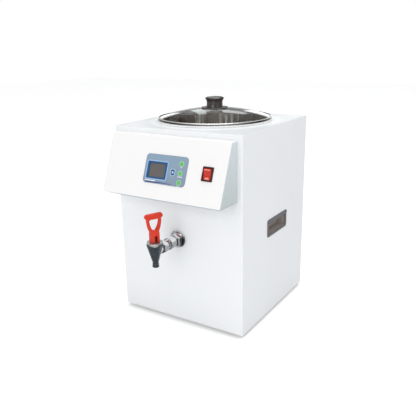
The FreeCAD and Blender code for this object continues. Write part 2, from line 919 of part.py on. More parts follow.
def overheat_thermostat():
    """Disc cut-out pressed against the middle of the tank's base."""
    body = rod(cutout_radius, V(0, axis_y, tank_base - cutout_height), V(0, axis_y, tank_base))
    low = tank_base - cutout_height
    for side in (-1, 1):
        x = side * cutout_blade_spacing / 2
        body = body.fuse(box(x - cutout_blade_thickness / 2, x + cutout_blade_thickness / 2,
                             axis_y - cutout_blade_width / 2, axis_y + cutout_blade_width / 2,
                             low - cutout_blade_length, low))
    return body


# Control box

def box_profile(thickness):
    """Side view of the control box as a face, drawn in by thickness from its outer sheet."""
    shift = thickness / math.cos(face_slope)
    low = box_low + thickness
    high = box_high - thickness
    back = front_y + (overrun if thickness else 0)

    def face_y(z):
        return front_y - box_bottom_depth + (z - box_low) * math.tan(face_slope) + shift

    half = box_half_width - thickness
    points = [V(-half, back, low), V(-half, face_y(low), low), V(-half, face_y(high), high), V(-half, back, high)]
    return Part.Face(Part.makePolygon(points + points[:1])).extrude(ACROSS * (2 * half))


def control_box():
    """Sloped sheet box with openings for the display and the switch, and tabs on its open back."""
    outer = box_profile(0)
    edges = [edge for edge in outer.Edges if edge.BoundBox.YMin < front_y - box_edge_radius]
    shell = outer.makeFillet(box_edge_radius, edges).cut(box_profile(sheet))
    for x, z in box_tab_places():
        shell = shell.fuse(box(x - box_tab_width / 2, x + box_tab_width / 2, front_y - sheet, front_y,
                               z - box_tab_height / 2, z + box_tab_height / 2))
    for x, z in box_tab_places():
        shell = shell.cut(rod(screw_radius, V(x, front_y - sheet - overrun, z), V(x, front_y + overrun, z)))
    edge = bezel_flange + fit_gap
    openings = [box(bezel_left - edge, bezel_right + edge, bezel_low - edge, bezel_high + edge, -sheet - overrun,
                    overrun)]
    half_w = indicator_width / 2 + fit_gap
    half_h = indicator_height / 2 + fit_gap
    openings.append(box(indicator_across - half_w, indicator_across + half_w, indicator_up - half_h,
                        indicator_up + half_h, -sheet - overrun, overrun))
    for up in button_heights.values():
        openings.append(rod(button_radius + button_flange + running_gap, V(button_across, up, -sheet - overrun),
                            V(button_across, up, overrun)))
    half_w = switch_width / 2 - switch_body_inset + fit_gap
    half_h = switch_height / 2 - switch_body_inset + fit_gap
    switch = box(switch_across - half_w, switch_across + half_w, switch_up - half_h, switch_up + half_h,
                 -sheet - overrun, overrun)
    return shell.cut([on_face(shape) for shape in openings + [switch]])


def box_screws():
    """Screws from inside the cabinet into the control box's tabs."""
    return group([pan_screw(V(x, front_y + sheet, z), OUT, 2 * sheet + screw_grip, screw_radius - fit_gap)
                  for x, z in box_tab_places()])


def display_overlay():
    """Front sheet of the control panel, with windows for the screen, indicator and buttons."""
    sheet_form = flat_block(overlay_left, overlay_right, overlay_low, overlay_high, 0, overlay_thickness,
                            overlay_radius)
    cuts = [flat_block(bezel_left, bezel_right, bezel_low, bezel_high, -overrun, overrun, bezel_radius)]
    cuts.append(box(indicator_across - indicator_width / 2, indicator_across + indicator_width / 2,
                    indicator_up - indicator_height / 2, indicator_up + indicator_height / 2, -overrun, overrun))
    for up in button_heights.values():
        cuts.append(rod(button_radius + running_gap, V(button_across, up, -overrun), V(button_across, up, overrun)))
    return on_face(sheet_form.cut(cuts))


def display_bezel():
    """Coloured frame round the screen, held by a flange behind the overlay."""
    proud = overlay_thickness + bezel_proud
    frame = flat_block(bezel_left + bond_gap, bezel_right - bond_gap, bezel_low + bond_gap,
                       bezel_high - bond_gap, -bezel_flange_thickness, proud, bezel_radius)
    flange = flat_block(bezel_left - bezel_flange, bezel_right + bezel_flange, bezel_low - bezel_flange,
                        bezel_high + bezel_flange, -bezel_flange_thickness, 0, bezel_radius)
    window = box(screen_left, screen_right, screen_low, screen_high, -overrun, overrun)
    return on_face(frame.fuse(flange).cut(window))


def display_screen():
    """Display module that stands on the controller board behind the frame."""
    body = box(screen_left - screen_border, screen_right + screen_border, screen_low - screen_border,
               screen_high + screen_border, board_back, -bezel_flange_thickness)
    lens = box(screen_left + bond_gap, screen_right - bond_gap, screen_low + bond_gap,
               screen_high - bond_gap, -bezel_flange_thickness, bezel_flange_thickness / 2)
    return on_face(body.fuse(lens))


def indicator_lens():
    """Small coloured light window, standing on the controller board."""
    half_w = indicator_width / 2 - bond_gap
    half_h = indicator_height / 2 - bond_gap
    return on_face(box(indicator_across - half_w, indicator_across + half_w, indicator_up - half_h,
                       indicator_up + half_h, board_back, overlay_thickness + bezel_proud / 2))


def push_button(up):
    """Domed round button with a keeper flange and a stem to its key switch."""
    top = overlay_thickness + button_dome
    back = -running_gap - button_flange_thickness
    edge = overlay_thickness + button_dome / 2
    bulge = crown(button_radius, edge, top)
    cap = turned((0, back), [(button_radius + button_flange, back), (button_radius + button_flange, -running_gap),
                             (button_radius, -running_gap), (button_radius, edge), (bulge, (0, top)), (0, back)],
                 button_across, up)
    stem = rod(button_stem_radius, V(button_across, up, back - button_stem_length), V(button_across, up, back))
    return on_face(cap.fuse(stem))


def button_up():
    return push_button(button_heights["button_up"])


def button_set():
    return push_button(button_heights["button_set"])


def button_down():
    return push_button(button_heights["button_down"])


def key_switches():
    """Key switches on the board, one behind each button."""
    plunger_top = (-running_gap - button_flange_thickness - button_stem_length - button_travel - fit_gap)
    keys = []
    for up in button_heights.values():
        key = box(button_across - key_size / 2, button_across + key_size / 2, up - key_size / 2,
                  up + key_size / 2, board_back, key_low)
        key = key.fuse(rod(key_plunger_radius, V(button_across, up, key_low), V(button_across, up, plunger_top)))
        keys.append(on_face(key))
    return group(keys)


def board_limits():
    """Low and high corners of the controller board, across and up."""
    return (overlay_left - board_border, overlay_right + board_border,
            overlay_low - board_border, overlay_high + board_border)


def standoff_places():
    x0, x1, s0, s1 = board_limits()
    return [(x, s) for x in (x0 + standoff_inset, x1 - standoff_inset)
            for s in (s0 + standoff_inset, s1 - standoff_inset)]


def controller_board():
    """Circuit board with its processor and plug, parallel to the sloped face."""
    x0, x1, s0, s1 = board_limits()
    back = board_back - board_thickness
    board = box(x0, x1, s0, s1, back, board_back)
    for x, s in standoff_places():
        board = board.cut(rod(small_screw_radius + fit_gap, V(x, s, back - overrun), V(x, s, board_back + overrun)))
    middle = (x0 + x1) / 2
    board = board.fuse(box(middle - chip_left, middle - chip_left + chip_size, s0 + chip_up,
                           s0 + chip_up + chip_size, back - chip_height, back))
    board = board.fuse(box(middle, middle + plug_length, s0 + plug_up, s0 + plug_up + plug_width,
                           back - plug_height, back))
    return on_face(board)


def board_standoffs():
    """Pillars that carry the controller board behind the sloped sheet and the power board on the floor pan."""
    pillars = []
    for x, s in standoff_places():
        pillar = rod(standoff_radius, V(x, s, board_back), V(x, s, -sheet))
        pillars.append(on_face(pillar.cut(rod(small_screw_radius, V(x, s, board_back - overrun),
                                              V(x, s, -sheet - small_screw_radius)))))
    for x, y in power_board_places():
        pillars.append(tube(standoff_radius, small_screw_radius, V(x, y, base_top), V(x, y, base_top + power_rise)))
    return group(pillars)


def board_screws():
    """Screws that hold both boards on their pillars."""
    back = board_back - board_thickness
    length = board_thickness + board_screw_grip
    radius = small_screw_radius - bond_gap
    screws = [on_face(pan_screw(V(x, s, back), UP, length, radius)) for x, s in standoff_places()]
    seat = base_top + power_rise + board_thickness
    screws += [pan_screw(V(x, y, seat), V(0, 0, -1), length, radius) for x, y in power_board_places()]
    return group(screws)


# Mains switch, in face coordinates

def switch_housing():
    """Switch body with its frame, open at the front for the rocker."""
    half_w = switch_width / 2
    half_h = switch_height / 2
    frame = flat_block(switch_across - half_w, switch_across + half_w, switch_up - half_h, switch_up + half_h,
                       0, switch_frame, switch_radius)
    front = [edge for edge in frame.Edges if edge.BoundBox.ZMin > switch_frame / 2]
    frame = frame.makeFillet(switch_frame * frame_round_share, front)
    inset = switch_body_inset
    body = box(switch_across - half_w + inset, switch_across + half_w - inset, switch_up - half_h + inset,
               switch_up + half_h - inset, -switch_depth, 0)
    reach = math.hypot(rocker_height / 2, rocker_crest + pivot_depth) + running_gap
    cavity = box(switch_across - rocker_width / 2 - running_gap, switch_across + rocker_width / 2 + running_gap,
                 switch_up - reach, switch_up + reach, -cavity_depth, switch_frame + overrun)
    hold = rocker_width / 2 + running_gap + pivot_hold
    hole = rod(pivot_radius + bond_gap / 2, V(switch_across - hold, switch_up, -pivot_depth),
               V(switch_across + hold, switch_up, -pivot_depth))
    return on_face(frame.fuse(body).cut(cavity).cut(hole))


def switch_rocker():
    """Rocker with two sloping faces, tipped to one side."""
    half = rocker_height / 2
    crest = rocker_crest + pivot_depth
    radius = math.hypot(half, crest)
    low = -rocker_depth
    foot = math.sqrt(radius ** 2 - low ** 2)
    wire = outline(lambda s, z: V(-rocker_width / 2, s, z), (-half, crest), [
        (0, rocker_valley + pivot_depth), (half, crest), ((radius, 0), (foot, low)), (-foot, low),
        ((-radius, 0), (-half, crest))])
    rocker = Part.Face(wire).extrude(ACROSS * rocker_width)
    rocker = rocker.cut(rod(pivot_radius + shaft_gap, V(-rocker_width, 0, 0), V(rocker_width, 0, 0)))
    rocker.rotate(V(0, 0, 0), ACROSS, rocker_tilt)
    rocker.translate(V(switch_across, switch_up, -pivot_depth))
    return on_face(rocker)


def switch_pivot():
    """Pin that the rocker turns on."""
    hold = rocker_width / 2 + running_gap + pivot_hold - bond_gap
    return on_face(rod(pivot_radius, V(switch_across - hold, switch_up, -pivot_depth),
                       V(switch_across + hold, switch_up, -pivot_depth)))


def switch_terminals():
    """Blade terminals on the back of the switch."""
    blades = []
    for step in (-1, 0, 1):
        up = switch_up + step * blade_pitch
        blades.append(on_face(box(switch_across - blade_width / 2, switch_across + blade_width / 2,
                                  up - blade_thickness / 2, up + blade_thickness / 2,
                                  -switch_depth - blade_length, -switch_depth)))
    return group(blades)


# Lid

def dome_z(radius, ball):
    """Height of the glass at a radius, on a ball of the given radius about the dome's centre."""
    return dome_centre_z + math.sqrt(ball ** 2 - radius ** 2)


def lid_glass():
    """Domed glass disc with a flat edge for the rim and a hole for the knob screw."""
    outer = rim_radius - rim_wall - bond_gap
    knee = dome_base_radius
    low_knee = knee - glass_edge
    ball = dome_radius
    middle = knee / 2
    low_start = (low_knee, glass_low)
    low_top = glass_low + dome_rise
    low_ball = (low_knee ** 2 + dome_rise ** 2) / (2 * dome_rise)
    low_centre = low_top - low_ball

    def under(radius):
        return low_centre + math.sqrt(low_ball ** 2 - radius ** 2)

    hole = glass_hole_radius
    glass = turned((outer, glass_low), [
        (outer, glass_high), (knee, glass_high), ((middle, dome_z(middle, ball)), (hole, dome_z(hole, ball))),
        (hole, under(hole)), ((middle, under(middle)), low_start), (outer, glass_low)], 0, axis_y)
    x, y = vent_place()
    return glass.cut(rod(vent_seat, V(x, y, glass_low), V(x, y, plate_top)))


def vent_place():
    """Place of the steam vent on the glass."""
    return vent_across, axis_y - vent_forward


def lid_rim():
    """Rolled steel band that grips the glass, with a lip that drops inside the tank."""
    top = lid_seat + rim_height
    k = rim_corner * (1 - math.sqrt(0.5))
    inner = rim_radius - rim_wall
    lip = rim_radius - rim_lip
    return turned((rim_inner_radius, lid_seat - rim_drop), [
        (rim_inner_radius + rim_wall, lid_seat - rim_drop), (rim_inner_radius + rim_wall, lid_seat),
        (rim_radius - rim_corner, lid_seat), ((rim_radius - k, lid_seat + k), (rim_radius, lid_seat + rim_corner)),
        (rim_radius, top - rim_corner), ((rim_radius - k, top - k), (rim_radius - rim_corner, top)),
        (lip, top), (lip, top - rim_wall), (inner, top - rim_wall), (inner, lid_seat + rim_wall),
        (rim_inner_radius, lid_seat + rim_wall), (rim_inner_radius, lid_seat - rim_drop)], 0, axis_y)


def steam_vent():
    """Steel eyelet through the glass."""
    x, y = vent_place()
    out = math.hypot(vent_across, vent_forward)
    top = dome_z(out, dome_radius)
    slope = out / dome_radius * vent_radius
    base = top - slope
    eyelet = rod(vent_radius, V(x, y, base), V(x, y, top + slope + vent_lip))
    eyelet = eyelet.cut(Part.makeSphere(dome_radius + bond_gap, V(0, axis_y, dome_centre_z)))
    barrel = rod(vent_seat - bond_gap, V(x, y, top - glass_thickness - slope), V(x, y, top + vent_lip))
    return eyelet.fuse(barrel).cut(rod(vent_bore, V(x, y, top - overrun * 2), V(x, y, top + overrun * 2)))


def knob_plate():
    """Round plate under the knob, hollowed to sit on the dome."""
    k = plate_thickness / 3
    plate = turned((0, plate_seat - plate_thickness), [
        (plate_radius, plate_seat - plate_thickness), (plate_radius, plate_top - k), (plate_radius - k, plate_top),
        (0, plate_top), (0, plate_seat - plate_thickness)], 0, axis_y)
    plate = plate.cut(Part.makeSphere(dome_radius + bond_gap, V(0, axis_y, dome_centre_z)))
    return plate.cut(rod(knob_screw_radius + fit_gap, V(0, axis_y, plate_seat - overrun),
                         V(0, axis_y, plate_top + overrun)))


def lid_knob():
    """Turned handle knob: straight waist, flared head and a crowned top."""
    z = plate_top
    waist = knob_waist_radius
    flare_mid = ((waist + knob_head_radius) / 2 - knob_edge, z + (knob_flare_rise + knob_head_rise) / 2)
    knob = turned((0, z), [
        (knob_base_radius, z), (waist, z + knob_waist_rise), (waist, z + knob_flare_rise - knob_edge),
        (flare_mid, (knob_head_radius - knob_edge / 2, z + knob_head_rise - knob_edge)),
        ((knob_head_radius, z + knob_head_rise), (knob_head_radius - knob_edge, z + knob_head_rise + knob_edge)),
        (knob_shoulder_radius, z + knob_shoulder_rise),
        (crown(knob_shoulder_radius, z + knob_shoulder_rise, z + knob_height), (0, z + knob_height)), (0, z)],
        0, axis_y)
    return knob.cut(rod(knob_screw_radius + bond_gap, V(0, axis_y, z - overrun), V(0, axis_y, z + knob_bore_depth)))


def washer_top():
    return glass_low + dome_rise - fit_gap


def knob_washer():
    """Washer between the screw and the glass."""
    top = washer_top()
    return tube(washer_radius, knob_screw_radius + fit_gap, V(0, axis_y, top - washer_thickness), V(0, axis_y, top))


def knob_screw():
    """Screw up through the glass into the knob."""
    seat = V(0, axis_y, washer_top() - washer_thickness)
    length = plate_top + knob_bore_depth - overrun / 2 - seat.z
    return pan_screw(seat, UP, length, knob_screw_radius)


# Tap

def shank_gasket():
    """Seal between the wall flange and the cabinet."""
    return tube(seal_radius, shank_radius + bond_gap, V(0, flange_back, shank_z), V(0, front_y, shank_z))


def shank_flange():
    """Stepped wall flange."""
    step = flange_back - flange_thickness
    bore = shank_radius + bond_gap
    c = flange_chamfer
    return turned_out((bore, flange_back), [
        (flange_radius, flange_back), (flange_radius, step + c), (flange_radius - c, step),
        (flange_step_radius, step), (flange_step_radius, flange_front + c), (flange_step_radius - c, flange_front),
        (bore, flange_front), (bore, flange_back)])


def chamfered_nut(radius, bore, front, back):
    """Hexagon nut along the tap's level axis with rounded-off corners at both ends."""
    body = hexagon(radius, V(0, back, shank_z), V(0, front, shank_z), 30)
    flat = radius * math.cos(math.radians(30))
    c = radius - flat
    trim = turned_out((0, front), [(flat, front), (radius, front + c), (radius, back - c), (flat, back),
                                   (0, back), (0, front)])
    return body.common(trim).cut(rod(bore, V(0, front - overrun, shank_z), V(0, back + overrun, shank_z)))


def lock_nut():
    """Nut on the shank that draws the wall flange tight."""
    return chamfered_nut(lock_nut_radius, shank_radius + bond_gap, lock_nut_front, flange_front)


def back_nut():
    """Nut inside the cabinet."""
    return chamfered_nut(back_nut_radius, shank_radius + bond_gap, front_y + sheet,
                         front_y + sheet + back_nut_thickness)


def tap_shank():
    """Bored shank from the tank outlet to the tap, with its barrel, neck and threaded end."""
    end = axis_y - tank_outer_radius - strainer_plug - bond_gap
    end = min(end, outlet_front + shank_in_outlet)
    c = barrel_chamfer
    shank = turned_out((shank_bore, thread_front), [
        (thread_radius - bond_gap, thread_front), (thread_radius - bond_gap, thread_back), (neck_radius, thread_back),
        (neck_radius, barrel_front), (barrel_radius - c, barrel_front), (barrel_radius, barrel_front + c),
        (barrel_radius, barrel_back - c), (barrel_radius - c, barrel_back), (groove_radius, barrel_back),
        (groove_radius, lock_nut_front), (shank_radius, lock_nut_front), (shank_radius, end), (shank_bore, end),
        (shank_bore, thread_front)])
    return shank


def coupling_nut():
    """Hexagon union nut that draws the tap body onto the shank."""
    nut = chamfered_nut(coupling_radius, port_radius + fit_gap, coupling_front, thread_back)
    return nut.cut(rod(thread_radius, V(0, coupling_front + coupling_lip, shank_z),
                       V(0, thread_back + overrun, shank_z)))


def tap_body():
    """Black tap body: straight spout tip, cone and side port, bored for the valve."""
    e = tip_edge
    straight_z = tip_z + straight_length
    body = turned((0, tip_z), [
        (tip_radius - e, tip_z), ((tip_radius - e * (1 - math.sqrt(0.5)), tip_z + e * (1 - math.sqrt(0.5))),
                                  (tip_radius, tip_z + e)),
        (spout_radius, straight_z), (cone_radius, cone_top_z), (cone_radius, tap_top), (0, tap_top), (0, tip_z)],
        0, tap_y)
    body = body.fuse(rod(port_radius, V(0, tap_y, shank_z), V(0, thread_front, shank_z)))
    body = body.fuse(rod(thread_radius - bond_gap, V(0, collar_front, shank_z), V(0, thread_front, shank_z)))
    low = seat_z + chamber_low_height
    chamber = turned((0, tip_z - overrun), [
        (spout_bore, tip_z - overrun), (spout_bore, seat_z), (chamber_low_radius, seat_z),
        (chamber_low_radius, low), (chamber_radius, low + seat_width), (chamber_radius, tap_top + overrun),
        (0, tap_top + overrun), (0, tip_z - overrun)], 0, tap_y)
    port = rod(port_bore, V(0, tap_y, shank_z), V(0, thread_front + overrun, shank_z))
    return body.cut(chamber).cut(port)


def tap_bonnet():
    """Hexagon cap screwed into the tap body, bored for the stem."""
    head = hexagon(bonnet_radius, V(0, tap_y, tap_top), V(0, tap_y, bonnet_top), bonnet_turn)
    c = bonnet_chamfer
    trim = turned((0, tap_top), [(bonnet_radius, tap_top), (bonnet_radius, bonnet_top - c),
                                 (bonnet_radius - c * 2, bonnet_top), (0, bonnet_top), (0, tap_top)], 0, tap_y)
    plug = rod(chamber_radius - bond_gap, V(0, tap_y, spring_top), V(0, tap_y, tap_top))
    return head.common(trim).fuse(plug).cut(rod(stem_radius + shaft_gap, V(0, tap_y, spring_top - overrun),
                                                V(0, tap_y, bonnet_top + overrun)))


def seat_cup():
    """Soft cup that closes the spout, with a socket for the stem."""
    low = seat_z + running_gap
    cup = turned((0, low), [
        (cup_foot_radius, low), (cup_foot_radius, low + cup_height / 3), (cup_neck_radius, low + cup_height / 2),
        (cup_neck_radius, cup_top), (0, cup_top), (0, low)], 0, tap_y)
    return cup.cut(rod(stem_radius + shaft_gap, V(0, tap_y, cup_top - stem_socket), V(0, tap_y, cup_top + overrun)))


def tap_stem():
    """Round stem with a flat-sided, round-topped tongue for the handle pin."""
    foot = V(0, tap_y, cup_top - stem_socket + shaft_gap)
    stem = rod(stem_radius, foot, V(0, tap_y, pin_z))
    head = rod(stem_radius, V(0, tap_y, pin_z - bond_gap), V(0, tap_y, pin_z + stem_radius))
    head = head.common(rod(stem_radius, V(-block_width, tap_y, pin_z), V(block_width, tap_y, pin_z)))
    stem = stem.fuse(head)
    flat = slot_width / 2 - fit_gap - bond_gap / 2
    for side in (-1, 1):
        x0, x1 = sorted((side * flat, side * block_width))
        stem = stem.cut(box(x0, x1, tap_y - block_depth, tap_y + block_depth, bonnet_top - bonnet_thickness / 2,
                            pin_z + block_depth))
    hole = rod(pin_radius + shaft_gap, V(-block_width, tap_y, pin_z), V(block_width, tap_y, pin_z))
    return at_swivel(stem.cut(hole))


def handle_pin():
    """Cross pin through the handle and the stem."""
    half = block_width / 2 - pin_recess
    return at_swivel(rod(pin_radius, V(-half, tap_y, pin_z), V(half, tap_y, pin_z)))


def coil_point(turn, radius, pitch):
    """Place and direction on a coil after a number of turns."""
    angle = 2 * math.pi * turn
    place = V(radius * math.cos(angle), radius * math.sin(angle), pitch * turn)
    return place, V(-radius * math.sin(angle), radius * math.cos(angle), pitch / (2 * math.pi)).normalize()


def tangent_arc(start, corner, end):
    """Arc between two points that touches the lines from each to the corner."""
    middle = (start + end) / 2
    cosine = (end - start).Length / ((corner - start).Length + (end - corner).Length)
    return Part.Arc(start, middle + (corner - middle) * (cosine / (1 + cosine)), end).toShape()


def coil_wire(radius, pitch, turns):
    """Coil as pairs of arcs, one pair for each quarter turn."""
    edges = []
    quarters = round(turns * 4)
    for n in range(quarters):
        start, along = coil_point(n * turns / quarters, radius, pitch)
        end, onward = coil_point((n + 1) * turns / quarters, radius, pitch)
        gap = end - start
        both = along + onward
        lean = gap.dot(both)
        spare = 4 - both.dot(both)
        reach = (math.sqrt(lean ** 2 + spare * gap.dot(gap)) - lean) / spare
        first = start + along * reach
        second = end - onward * reach
        joint = (first + second) / 2
        edges += [tangent_arc(start, first, joint), tangent_arc(joint, second, end)]
    return Part.Wire(edges)


def tap_spring():
    """Closing spring between the cup and the bonnet."""
    low = cup_top + fit_gap + spring_wire / 2
    height = spring_top - fit_gap - spring_wire / 2 - low
    radius = spring_radius - spring_wire / 2
    pitch = height / spring_turns
    start, along = coil_point(0, radius, pitch)
    ring = Part.Wire(Part.Circle(start, along, spring_wire / 2).toShape())
    spring = coil_wire(radius, pitch, spring_turns).makePipeShell([ring], True, False)
    spring.translate(V(0, tap_y, low))
    return spring


def softened(shape, edges, radius):
    """Rounds the edges that lie flat on the loop's two faces."""
    chosen = [edge for edge in edges if edge.BoundBox.YLength < bond_gap]
    return shape.makeFillet(radius, chosen)


def handle_loop():
    """Stirrup loop of the handle: two flared arms and a round-ended bar round an open window."""
    half = block_width / 2
    low = block_low + pin_height
    shoulder = block_low + block_shoulder
    middle = bar_low + bar_height / 2
    end = bar_half_length - bar_height / 2
    flare = (arm_flare, block_low + arm_flare_rise)
    wide = arm_half_width
    face = tap_y - loop_thickness / 2
    wire = outline(lambda x, z: V(x, face, z), (-half, low), [
        (half, low), (half, shoulder), (flare, (wide, middle)), (-wide, middle),
        ((-flare[0], flare[1]), (-half, shoulder)), (-half, low)])
    arms = Part.Face(wire).extrude(INWARD * loop_thickness)
    arms = softened(arms, [edge for edge in arms.Edges if edge.BoundBox.ZLength > loop_thickness], loop_edge_radius)
    wire = outline(lambda x, z: V(x, face, z), (-end, bar_low), [
        (end, bar_low), ((bar_half_length, middle), (end, bar_top)), (-end, bar_top),
        ((-bar_half_length, middle), (-end, bar_low))])
    bar = Part.Face(wire).extrude(INWARD * loop_thickness)
    loop = arms.fuse(softened(bar, bar.Edges, loop_edge_radius))
    base = block_low + window_rise
    r = window_base_radius
    wide = window_half_width
    c = window_corner
    k = c * (1 - math.sqrt(0.5))
    side = (window_flare, block_low + window_flare_rise)
    wire = outline(lambda x, z: V(x, tap_y - loop_thickness, z), (-r, base + r), [
        ((0, base), (r, base + r)), (side, (wide, bar_low - c)), ((wide - k, bar_low - k), (wide - c, bar_low)),
        (-wide + c, bar_low), ((-wide + k, bar_low - k), (-wide, bar_low - c)), ((-side[0], side[1]), (-r, base + r))])
    return loop.cut(Part.Face(wire).extrude(INWARD * loop_thickness * 2))


def handle_block():
    """Slotted block of the handle, with the cam heel that rides on the bonnet."""
    back = block_depth / 2
    heel = pin_z - math.sqrt(pin_height ** 2 - (back - cam_offset) ** 2)
    angle = math.asin((back - cam_offset) / pin_height) / 2
    heel_middle = (cam_offset + pin_height * math.sin(angle), pin_z - pin_height * math.cos(angle))
    shoulder = block_low + block_shoulder
    top = shoulder + block_slope
    thin = loop_thickness / 2 - loop_edge_radius / 2
    wire = outline(lambda q, z: V(-block_width / 2, tap_y - q, z), (-back, block_low), [
        (cam_offset, block_low), (heel_middle, (back, heel)), (back, shoulder - block_slope / 2), (thin, top),
        (-thin, top), (-back, shoulder - block_slope / 2), (-back, block_low)])
    block = Part.Face(wire).extrude(ACROSS * block_width)
    upright = [edge for edge in block.Edges
               if edge.BoundBox.XLength < bond_gap and edge.BoundBox.YLength < bond_gap]
    return block.makeChamfer(block_edge, upright)


def tap_handle():
    """Red lift handle: slotted block and stirrup loop in one moulding."""
    handle = handle_block().fuse(handle_loop())
    window_cut = box(-window_base_radius, window_base_radius, tap_y - block_depth, tap_y + block_depth,
                     block_low + window_rise + window_base_radius, bar_low)
    handle = handle.cut(window_cut)
    slot = box(-slot_width / 2, slot_width / 2, tap_y - block_depth, tap_y + slot_back, block_low - overrun,
               pin_z + slot_above_pin)
    hole = rod(pin_radius + shaft_gap, V(-block_width, tap_y, pin_z), V(block_width, tap_y, pin_z))
    return at_swivel(handle.cut([slot, hole]))


# Mains inlet and power board

def power_inlet():
    """Panel inlet with a pin socket and a fuse drawer bay."""
    y0 = rear_y
    flange = back_block(inlet_across - inlet_width / 2, inlet_across + inlet_width / 2, y0, y0 + inlet_flange,
                        inlet_z - inlet_height / 2, inlet_z + inlet_height / 2, inlet_radius)
    body = box(inlet_across - inlet_body_width / 2, inlet_across + inlet_body_width / 2,
               y0 - inlet_body_depth, y0, inlet_z - inlet_body_height / 2, inlet_z + inlet_body_height / 2)
    face = y0 + inlet_flange
    socket_z = inlet_z + socket_rise
    half_w = socket_width / 2
    half_h = socket_height / 2
    c = socket_chamfer
    wire = outline(lambda x, z: V(inlet_across + x, face + overrun, socket_z + z), (-half_w, -half_h), [
        (half_w, -half_h), (half_w, half_h - c), (half_w - c, half_h), (-half_w + c, half_h),
        (-half_w, half_h - c), (-half_w, -half_h)])
    socket = Part.Face(wire).extrude(OUT * (socket_depth + overrun))
    bay_z = inlet_z - drawer_drop
    bay = box(inlet_across - drawer_width / 2 - running_gap, inlet_across + drawer_width / 2 + running_gap,
              face - drawer_depth - running_gap, face + overrun, bay_z - drawer_height / 2 - running_gap,
              bay_z + drawer_height / 2 + running_gap)
    inlet = flange.fuse(body).cut([socket, bay])
    for side in (-1, 1):
        x = inlet_across + side * inlet_screw_pitch / 2
        inlet = inlet.cut(rod(small_screw_radius + fit_gap, V(x, y0 - overrun, inlet_z), V(x, face + overrun, inlet_z)))
    for x, z in ((-inlet_pin_spacing, -inlet_pin_drop), (inlet_pin_spacing, -inlet_pin_drop), (0, inlet_pin_drop)):
        inlet = inlet.fuse(box(inlet_across + x - inlet_pin_thickness / 2, inlet_across + x + inlet_pin_thickness / 2,
                               face - socket_depth - inlet_pin_thickness, face - socket_depth + inlet_pin_length,
                               socket_z + z - inlet_pin_width / 2, socket_z + z + inlet_pin_width / 2))
    for x in (-inlet_pin_spacing, 0, inlet_pin_spacing):
        inlet = inlet.fuse(box(inlet_across + x - inlet_pin_width / 2, inlet_across + x + inlet_pin_width / 2,
                               y0 - inlet_body_depth - inlet_tab_length, y0 - inlet_body_depth,
                               socket_z - blade_thickness / 2, socket_z + blade_thickness / 2))
    return inlet


def fuse_drawer():
    """Small drawer that holds the fuse, with a finger lip."""
    face = rear_y + inlet_flange
    bay_z = inlet_z - drawer_drop
    half_w = drawer_width / 2
    drawer = box(inlet_across - half_w, inlet_across + half_w, face - drawer_depth, face,
                 bay_z - drawer_height / 2, bay_z + drawer_height / 2)
    lip = box(inlet_across - half_w / 2, inlet_across + half_w / 2, face, face + drawer_lip,
              bay_z - drawer_lip_height / 2, bay_z + drawer_lip_height / 2)
    wall = drawer_lip
    hollow = box(inlet_across - half_w + wall, inlet_across + half_w - wall, face - drawer_depth + wall,
                 face - 2 * wall, bay_z - drawer_height / 2 + wall, bay_z + drawer_height)
    return drawer.fuse(lip).cut(hollow)


def power_board_places():
    x = power_width / 2 - standoff_inset
    y = power_depth / 2 - standoff_inset
    return [(power_across + sx, axis_y + power_back + sy) for sx, sy in corners(x, y)]


def power_board():
    """Mains board with its relay, transformer, terminals and capacitor."""
    low = base_top + power_rise
    high = low + board_thickness
    x0 = power_across - power_width / 2
    y0 = axis_y + power_back - power_depth / 2
    board = box(x0, x0 + power_width, y0, y0 + power_depth, low, high)
    for x, y in power_board_places():
        board = board.cut(rod(small_screw_radius + fit_gap, V(x, y, low - overrun), V(x, y, high + overrun)))
    spots = ((relay_size, x0 + part_margin, y0 + part_margin),
             (transformer_size, x0 + power_width - part_margin - transformer_size[0], y0 + part_margin),
             (terminal_size, x0 + part_margin, y0 + power_depth - part_margin - terminal_size[1]))
    for (wide, deep, tall), x, y in spots:
        board = board.fuse(box(x, x + wide, y, y + deep, high, high + tall))
    cap_x = x0 + power_width - part_margin - capacitor_radius
    cap_y = y0 + power_depth - part_margin - capacitor_radius
    return board.fuse(rod(capacitor_radius, V(cap_x, cap_y, high), V(cap_x, cap_y, high + capacitor_height)))


PIECES = [
    cabinet_shell, top_plate, rear_panel, panel_screws, base_plate, rubber_feet, foot_screws,
    handle_cup_left, handle_cup_right, deck_plate, bottom_insulation, bottom_heater, tank, tank_bottom, tank_gasket,
    outlet_strainer, heater_band, insulation_jacket, temperature_probe, overheat_thermostat,
    control_box, box_screws, display_overlay, display_bezel, display_screen, indicator_lens,
    button_up, button_set, button_down, key_switches, controller_board, board_standoffs, board_screws,
    switch_housing, switch_rocker, switch_pivot, switch_terminals,
    lid_glass, lid_rim, steam_vent, knob_plate, lid_knob, knob_washer, knob_screw,
    shank_gasket, shank_flange, lock_nut, back_nut, tap_shank, coupling_nut, tap_body, tap_bonnet,
    seat_cup, tap_stem, handle_pin, tap_spring, tap_handle,
    power_inlet, fuse_drawer, power_board,
]


def main():
    os.makedirs("parts", exist_ok=True)
    for make in PIECES:
        make().exportStep(f"parts/{make.__name__}.step")
    print(f"{len(PIECES)} nodes")


main()
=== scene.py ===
"""Paraffin wax dispenser: its finishes, the print and marks of its panel, and the studio."""
import json
import math

import bpy
from mathutils import Matrix, Vector


